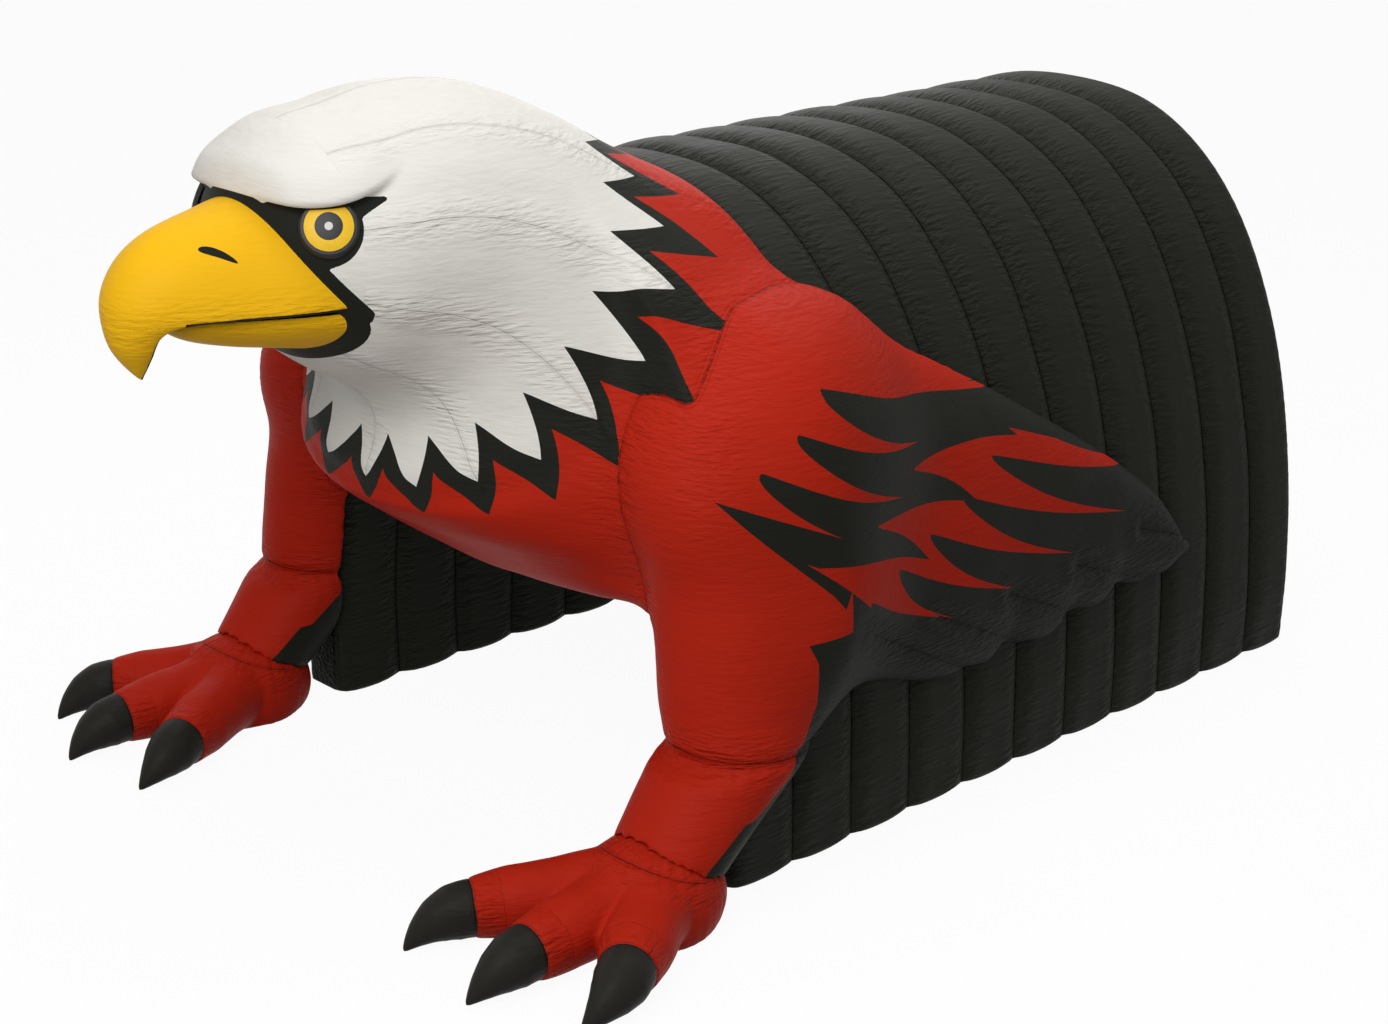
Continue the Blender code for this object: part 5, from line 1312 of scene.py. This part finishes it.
def shading():
    """Node group that shades round surfaces smoothly and keeps their edges crisp."""
    group = bpy.data.node_groups.get("round shading")
    if group:
        return group
    group = bpy.data.node_groups.new("round shading", "GeometryNodeTree")
    for way in ("INPUT", "OUTPUT"):
        group.interface.new_socket("Geometry", in_out=way, socket_type="NodeSocketGeometry")
    skin = add_node(group, "NodeGroupInput")
    skin = add_node(group, "GeometryNodeRemoveAttribute", sockets={"Geometry": skin, "Name": "custom_normal"})
    skin = add_node(group, "GeometryNodeMergeByDistance", sockets={"Geometry": skin, "Distance": WELD})
    skin = add_node(group, "GeometryNodeSetShadeSmooth", sockets={"Geometry": skin})
    angle = add_node(group, "GeometryNodeInputMeshEdgeAngle")
    sockets = {"Geometry": skin, "Selection": add_node(group, "FunctionNodeCompare", sockets={0: angle, 1: CRISP})}
    skin = add_node(group, "GeometryNodeSetShadeSmooth", {"domain": "EDGE"}, {**sockets, "Shade Smooth": False})
    add_node(group, "NodeGroupOutput", sockets={0: skin})
    return group


def soften(width, finish, *names):
    """Solids that stay: smooth faces, a small bevel and their own finish."""
    for name in names:
        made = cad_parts[name]
        made.data.materials.clear()
        made.data.materials.append(finishes(finish))
        modify(made, "NODES", node_group=shading())
        modify(made, "BEVEL", width=width, segments=2, limit_method="ANGLE", angle_limit=CRISP, harden_normals=True)


def build_blower():
    """The blower's own solids with their finishes."""
    soften(0.004, "blue", "blower_housing")
    soften(0.0015, "dark", "blower_motor", "blower_skids", "carry_handle", "inlet_grille")
    soften(0.0015, "dark", "terminal_box", "switch_rocker", "cable_gland")
    soften(0.0005, "steel", "blower_impeller")


def build_sleeve():
    """Gathered cloth sleeve between the blower and the last rib, and the strap round it."""
    (left, near, low), (right, far, high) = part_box("sleeve_strap")
    (first, start, _), (last, end, _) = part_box("inflation_sleeve")
    turns = whole_turn(96)
    ring = np.stack([np.cos(turns), 0.0 * turns, np.sin(turns)], -1)
    centre = np.array([(first + last) / 2, 0.0, (low + high) / 2])
    share = np.linspace(0, 1, 80)
    flare = np.interp(share, *SLEEVE_FLARE)
    radius = SLEEVE_RADIUS + flare[:, None]
    fold = ripple(turns * 0.10, 1.0, (0.03, 0.05, 0.08)) * np.sin(np.pi * share)[:, None].clip(0) ** 0.5
    radius = radius + 0.004 * fold + 0.003 * ripple((end - start) * share, 2.0, (0.03, 0.045, 0.07))[:, None]
    flat = np.where(ring[:, 2] > 0, radius, np.minimum(radius, SLEEVE_RADIUS + 0.009))
    size = np.stack([radius, radius, flat], -1)
    along = np.stack([0.0 * share, start + (end - start) * share, 0.0 * share], -1)[:, None]
    skins = [centre + along + ring * size * part for part in (1.0, 0.965)]
    points = np.concatenate([skins[0], skins[1][::-1]]).reshape(-1, 3)
    made = face_out(new_object("sleeve_cloth", points, grid_faces(160, 96), "black", False))
    note(made, "seam", PLAIN)
    settle(made, "inflation_sleeve", slot="black_fabric")
    across, out = np.array([*STRAP_PROFILE, STRAP_PROFILE[0]]).T
    ys = (near + far) / 2 + across * (far - near)
    radii = (right - left) / 2 - STRAP_THICK + out * STRAP_THICK
    grid = ring * radii[:, None, None] + ((left + right) / 2, 0.0, (low + high) / 2)
    grid[..., 1] = ys[:, None]
    made = face_out(new_object("strap_webbing", grid.reshape(-1, 3), grid_faces(9, 96), "red", False))
    note(made, "seam", PLAIN)
    settle(made, "sleeve_strap", slot="red_webbing")


def build_zip():
    """The deflation zip: woven tape with a ladder of teeth, slider and pull."""
    soften(0.0004, "steel", "zip_slider", "zip_pull")
    low, high = (np.array(corner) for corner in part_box("zip_tape"))
    middle, half = (low[0] + high[0]) / 2, (high[0] - low[0]) / 2
    outline = np.array([*ZIP_PROFILE, *((-x, y) for x, y in ZIP_PROFILE[::-1])])
    cross = np.column_stack([middle + outline[:, 0] * half, low[1] + outline[:, 1] * TAPE_THICK])
    grid = np.stack([np.column_stack([cross, np.full(len(cross), z)]) for z in np.linspace(low[2], high[2], 60)])
    points, faces = tube_mesh(grid)
    points = [points]
    tooth = np.array([(x, y, z) for y in (0, 1) for z in (-1, 1) for x in (-1, 1)], float) * TOOTH_SIZE
    tooth[tooth[:, 1] > 0] *= (0.8, 1.0, 0.8)
    for number, z in enumerate(np.arange(low[2] + 0.016, high[2] - 0.018, TOOTH_PITCH)):
        start = sum(len(part) for part in points)
        points.append(tooth + (middle - 0.0008 * (-1) ** number, low[1] + 0.001, z))
        faces += [[start + corner for corner in face] for face in BLOCK_FACES]
    made = new_object("zip_cloth", np.concatenate(points), faces, "black", False)
    made.data.polygons.foreach_set("use_smooth", [False] * len(faces))
    note(made, "seam", PLAIN)
    settle(made, "zip_tape", slot="black_fabric")


def build_tabs():
    """Webbing tabs folded round their steel rings."""
    soften(0.0004, "steel", "tie_ring_left", "tie_ring_right")
    for word in ("left", "right"):
        low, high = (np.array(corner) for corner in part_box("tie_tab_" + word))
        middle, half, back, eye = (low[0] + high[0]) / 2, (high[0] - low[0]) / 2, low[1], low[2] + TAB_EYE
        turns = np.radians(np.arange(180, 421, 12))
        loop = np.column_stack([TAB_EYE + TAB_LOOP * np.cos(turns), TAB_LOOP * np.sin(turns)])
        top = high[2] - eye
        path = [(0.0011, top), (0.0011, 0.03), (0.0014, 0.012), *loop]
        path += [(0.0062, 0.0145), (0.0034, 0.022), (0.0032, 0.035), (0.0032, top)]
        path = smooth_rows(path, np.linspace(0, len(path) - 1, 150)) + (back, eye)
        way = np.gradient(path, axis=0)
        way /= np.linalg.norm(way, axis=1)[:, None]
        out = np.column_stack([-way[:, 1], way[:, 0]])
        width = np.interp(path[:, 1], (eye + 0.010, eye + 0.028), (TAB_WAIST, half))
        outline = np.array(TAB_PROFILE)
        x = middle + width[:, None] * outline[:, 0]
        yz = path[:, None] + out[:, None] * outline[:, 1][None, :, None] * (TAB_THICK / 2)
        made = closed_skin("tab_webbing_" + word, np.concatenate([x[..., None], yz], -1), "black", False)
        note(made, "seam", PLAIN)
        settle(made, "tie_tab_" + word, slot="black_fabric")


def seen(tree):
    """1 for rays that show the background itself: straight from the camera, in gloss and through glass."""
    rays = ("Is Camera Ray", "Is Glossy Ray", "Is Transmission Ray")
    camera, glossy, clear = (add_node(tree, "ShaderNodeLightPath", output=ray) for ray in rays)
    return camera.most(glossy).most(clear)


def place_towards(data, place, way):
    """A lamp or camera at a place, which looks along a way."""
    holder = bpy.data.objects.new(data.name, data)
    bpy.context.scene.collection.objects.link(holder)
    holder.location = place
    holder.rotation_euler = Vector(way).to_track_quat("-Z", "Y").to_euler()
    return holder


def build_floor():
    """Pale floor paint, which the camera sees nearly white, with the object's shadow on it."""
    corners = [(-FLOOR, -FLOOR, 0), (FLOOR, -FLOOR, 0), (FLOOR, FLOOR, 0), (-FLOOR, FLOOR, 0)]
    floor = new_object("floor", corners, [[0, 1, 2, 3]], shift=False)
    finish = Finish("floor paint", Roughness=0.9, Specular_IOR_Level=0.1)
    finish.give(Base_Color=finish.noise(0.6, 2.0).mix((0.36, 0.36, 0.355), (0.40, 0.40, 0.395)))
    glow = finish.add("Emission", Color=(1, 1, 1), Strength=1.1)
    paint = Wire(finish.tree, finish.shader.outputs[0])
    sockets = {0: seen(finish.tree) * 0.86, 1: paint, 2: glow}
    surface = add_node(finish.tree, "ShaderNodeMixShader", sockets=sockets)
    plug(finish.tree, finish.tree.nodes["Material Output"].inputs["Surface"], surface)
    floor.data.materials.append(finish.material)


def build_stage(settings):
    scene = bpy.context.scene
    build_floor()
    scene.world = bpy.data.worlds.new("studio")
    scene.world.use_nodes = True
    tree = scene.world.node_tree
    back = tree.nodes["Background"]
    plug(tree, back.inputs["Color"], (1, 1, 1))
    plug(tree, back.inputs["Strength"], seen(tree) * (1.0 - settings.sky) + settings.sky)
    for name, place, size in LAMPS:
        lamp = bpy.data.lights.new(name, "AREA")
        lamp.size, lamp.energy = size, getattr(settings, name)
        place_towards(lamp, place, Vector(LAMPS_AIM) - Vector(place))
    camera = bpy.data.cameras.new("camera")
    camera.sensor_width, camera.lens, camera.clip_end = 36.0, LENS, 500
    azimuth, dip = np.radians((AZIMUTH, DIP))
    way = (-np.sin(azimuth) * np.cos(dip), np.cos(azimuth) * np.cos(dip), -np.sin(dip))
    scene.camera = place_towards(camera, np.array(CAMERA_PLACE) + SHIFT, way)
    scene.view_settings.view_transform = "Standard"


# The add-on


def length(name, words, value):
    return FloatProperty(name=name, description=words, default=value, min=0.0, unit="LENGTH")


def colour(name, words, *value):
    return FloatVectorProperty(name=name, description=words, default=value, min=0.0, max=1.0, size=3, subtype="COLOR")


def power(name, words, value):
    return FloatProperty(name=name, description=words, default=value, min=0.0, unit="POWER")


class TunnelSettings(bpy.types.PropertyGroup):
    """What can be set on the tunnel, the bird and the studio"""

    rib_stations: IntProperty(name="Rib stations", description="Sections along each air rib", default=420, min=40)
    rib_gathers: length("Rib gathers", "Depth of the gathers beside the rib seams", 0.0075)
    blend: length("Blend", "Reach over which the puffed forms flow together", 0.2)
    seam_shift: length("Seam shift", "How far the shoulder's seam lies on the shoulder", 0.05)
    cell: length("Cell", "Size of the small faces on the puffed skins", 0.018)
    gathers: length("Gathers", "Depth of the gathers beside the bird's seams", 0.005)
    foot_gathers: length("Foot gathers", "Depth of the gathers round the ankles", 0.010)
    brow: length("Brow", "How far the brow stands out over the eye", 0.095)
    crown: length("Crown", "How far the forehead swells", 0.075)
    eye_dome: length("Eye dome", "Height of the domed eye", 0.046)
    red: colour("Red", "Cloth of the breast, legs and wings", 0.44, 0.019, 0.007)
    black: colour("Black", "Cloth of the dark feathers, edging, sleeve and tabs", 0.0135, 0.0142, 0.0105)
    # Painted sheen: the ribs are the same black cloth as black, set lighter to stand in for the nylon's sheen on
    # them.
    rib: colour("Rib black", "Cloth of the air ribs", 0.0168, 0.0176, 0.0128)
    white: colour("White", "Cloth of the hood", 0.76, 0.74, 0.69)
    yellow: colour("Yellow", "Cloth of the beak", 0.86, 0.47, 0.010)
    charcoal: colour("Charcoal", "Cloth of the talons", 0.022, 0.021, 0.018)
    amber: colour("Amber", "Ring round the pupil", 0.90, 0.55, 0.025)
    pupil: colour("Pupil", "Pupil and rim of the eye", 0.010, 0.010, 0.010)
    highlight: colour("Highlight", "Spot in the pupil", 0.62, 0.62, 0.60)
    housing: colour("Housing", "Plastic of the blower's housing", 0.03, 0.085, 0.27)
    fitting: colour("Fittings", "Dark plastic of the blower's fittings", 0.022, 0.022, 0.022)
    steel: colour("Steel", "Plated steel of the rings, the slider and the impeller", 0.62, 0.63, 0.64)
    sky: FloatProperty(name="Sky", description="Strength of the light from all round", default=0.26, min=0.0)
    key: power("Key", "Power of the lamp in front", 610.0)
    top: power("Top", "Power of the lamp overhead", 400.0)
    rear: power("Rear", "Power of the lamp behind", 160.0)


class TUNNEL_OT_stage(bpy.types.Operator):
    """Pale floor, soft lights and the camera at the photograph's angle"""

    bl_idname = "tunnel.stage"
    bl_label = "Stage"

    def execute(self, context):
        build_stage(context.scene.tunnel)
        return {"FINISHED"}


class TUNNEL_OT_ribs(bpy.types.Operator):
    """Eleven sewn air ribs"""

    bl_idname = "tunnel.ribs"
    bl_label = "Air ribs"

    def execute(self, context):
        build_ribs(context.scene.tunnel)
        return {"FINISHED"}


class TUNNEL_OT_beak(bpy.types.Operator):
    """Upper and lower beak"""

    bl_idname = "tunnel.beak"
    bl_label = "Beak"

    def execute(self, context):
        build_beak()
        return {"FINISHED"}


class TUNNEL_OT_eyes(bpy.types.Operator):
    """A domed eye on each side of the head"""

    bl_idname = "tunnel.eyes"
    bl_label = "Eyes"

    def execute(self, context):
        build_eyes(context.scene.tunnel)
        return {"FINISHED"}


class TUNNEL_OT_bird(bpy.types.Operator):
    """Hood, edging, breast, legs, shoulders, wings and mantle"""

    bl_idname = "tunnel.bird"
    bl_label = "Bird"

    def execute(self, context):
        build_bird(context.scene.tunnel)
        return {"FINISHED"}


class TUNNEL_OT_feet(bpy.types.Operator):
    """Three-toed feet"""

    bl_idname = "tunnel.feet"
    bl_label = "Feet"

    def execute(self, context):
        build_feet(context.scene.tunnel)
        return {"FINISHED"}


class TUNNEL_OT_talons(bpy.types.Operator):
    """A curved talon on each toe"""

    bl_idname = "tunnel.talons"
    bl_label = "Talons"

    def execute(self, context):
        build_talons()
        return {"FINISHED"}


class TUNNEL_OT_blower(bpy.types.Operator):
    """Housing, motor, impeller and fittings of the blower"""

    bl_idname = "tunnel.blower"
    bl_label = "Blower"

    def execute(self, context):
        build_blower()
        return {"FINISHED"}


class TUNNEL_OT_sleeve(bpy.types.Operator):
    """Cloth sleeve to the blower and its strap"""

    bl_idname = "tunnel.sleeve"
    bl_label = "Sleeve"

    def execute(self, context):
        build_sleeve()
        return {"FINISHED"}


class TUNNEL_OT_zip(bpy.types.Operator):
    """Deflation zip with its slider and pull"""

    bl_idname = "tunnel.zip"
    bl_label = "Zip"

    def execute(self, context):
        build_zip()
        return {"FINISHED"}


class TUNNEL_OT_tabs(bpy.types.Operator):
    """Tie-down tabs and their rings"""

    bl_idname = "tunnel.tabs"
    bl_label = "Tabs"

    def execute(self, context):
        build_tabs()
        return {"FINISHED"}


OPERATORS = (
    TUNNEL_OT_stage,
    TUNNEL_OT_ribs,
    TUNNEL_OT_beak,
    TUNNEL_OT_eyes,
    TUNNEL_OT_bird,
    TUNNEL_OT_feet,
    TUNNEL_OT_talons,
    TUNNEL_OT_blower,
    TUNNEL_OT_sleeve,
    TUNNEL_OT_zip,
    TUNNEL_OT_tabs,
)


class TUNNEL_PT_panel(bpy.types.Panel):
    """Buttons for every group of pieces"""

    bl_label = "Tunnel"
    bl_idname = "TUNNEL_PT_panel"
    bl_space_type = "VIEW_3D"
    bl_region_type = "UI"
    bl_category = "Tunnel"

    def draw(self, context):
        for name in TunnelSettings.__annotations__:
            self.layout.prop(context.scene.tunnel, name)
        for made in OPERATORS:
            self.layout.operator(made.bl_idname)


CLASSES = (TunnelSettings, *OPERATORS, TUNNEL_PT_panel)


def register():
    for made in CLASSES:
        bpy.utils.register_class(made)
    bpy.types.Scene.tunnel = PointerProperty(type=TunnelSettings)


def unregister():
    del bpy.types.Scene.tunnel
    for made in reversed(CLASSES):
        bpy.utils.unregister_class(made)


def main():
    """Makes everything in order."""
    register()
    for made in OPERATORS:
        getattr(bpy.ops.tunnel, made.bl_idname.split(".")[1])()


if __name__ == "__main__":
    main()
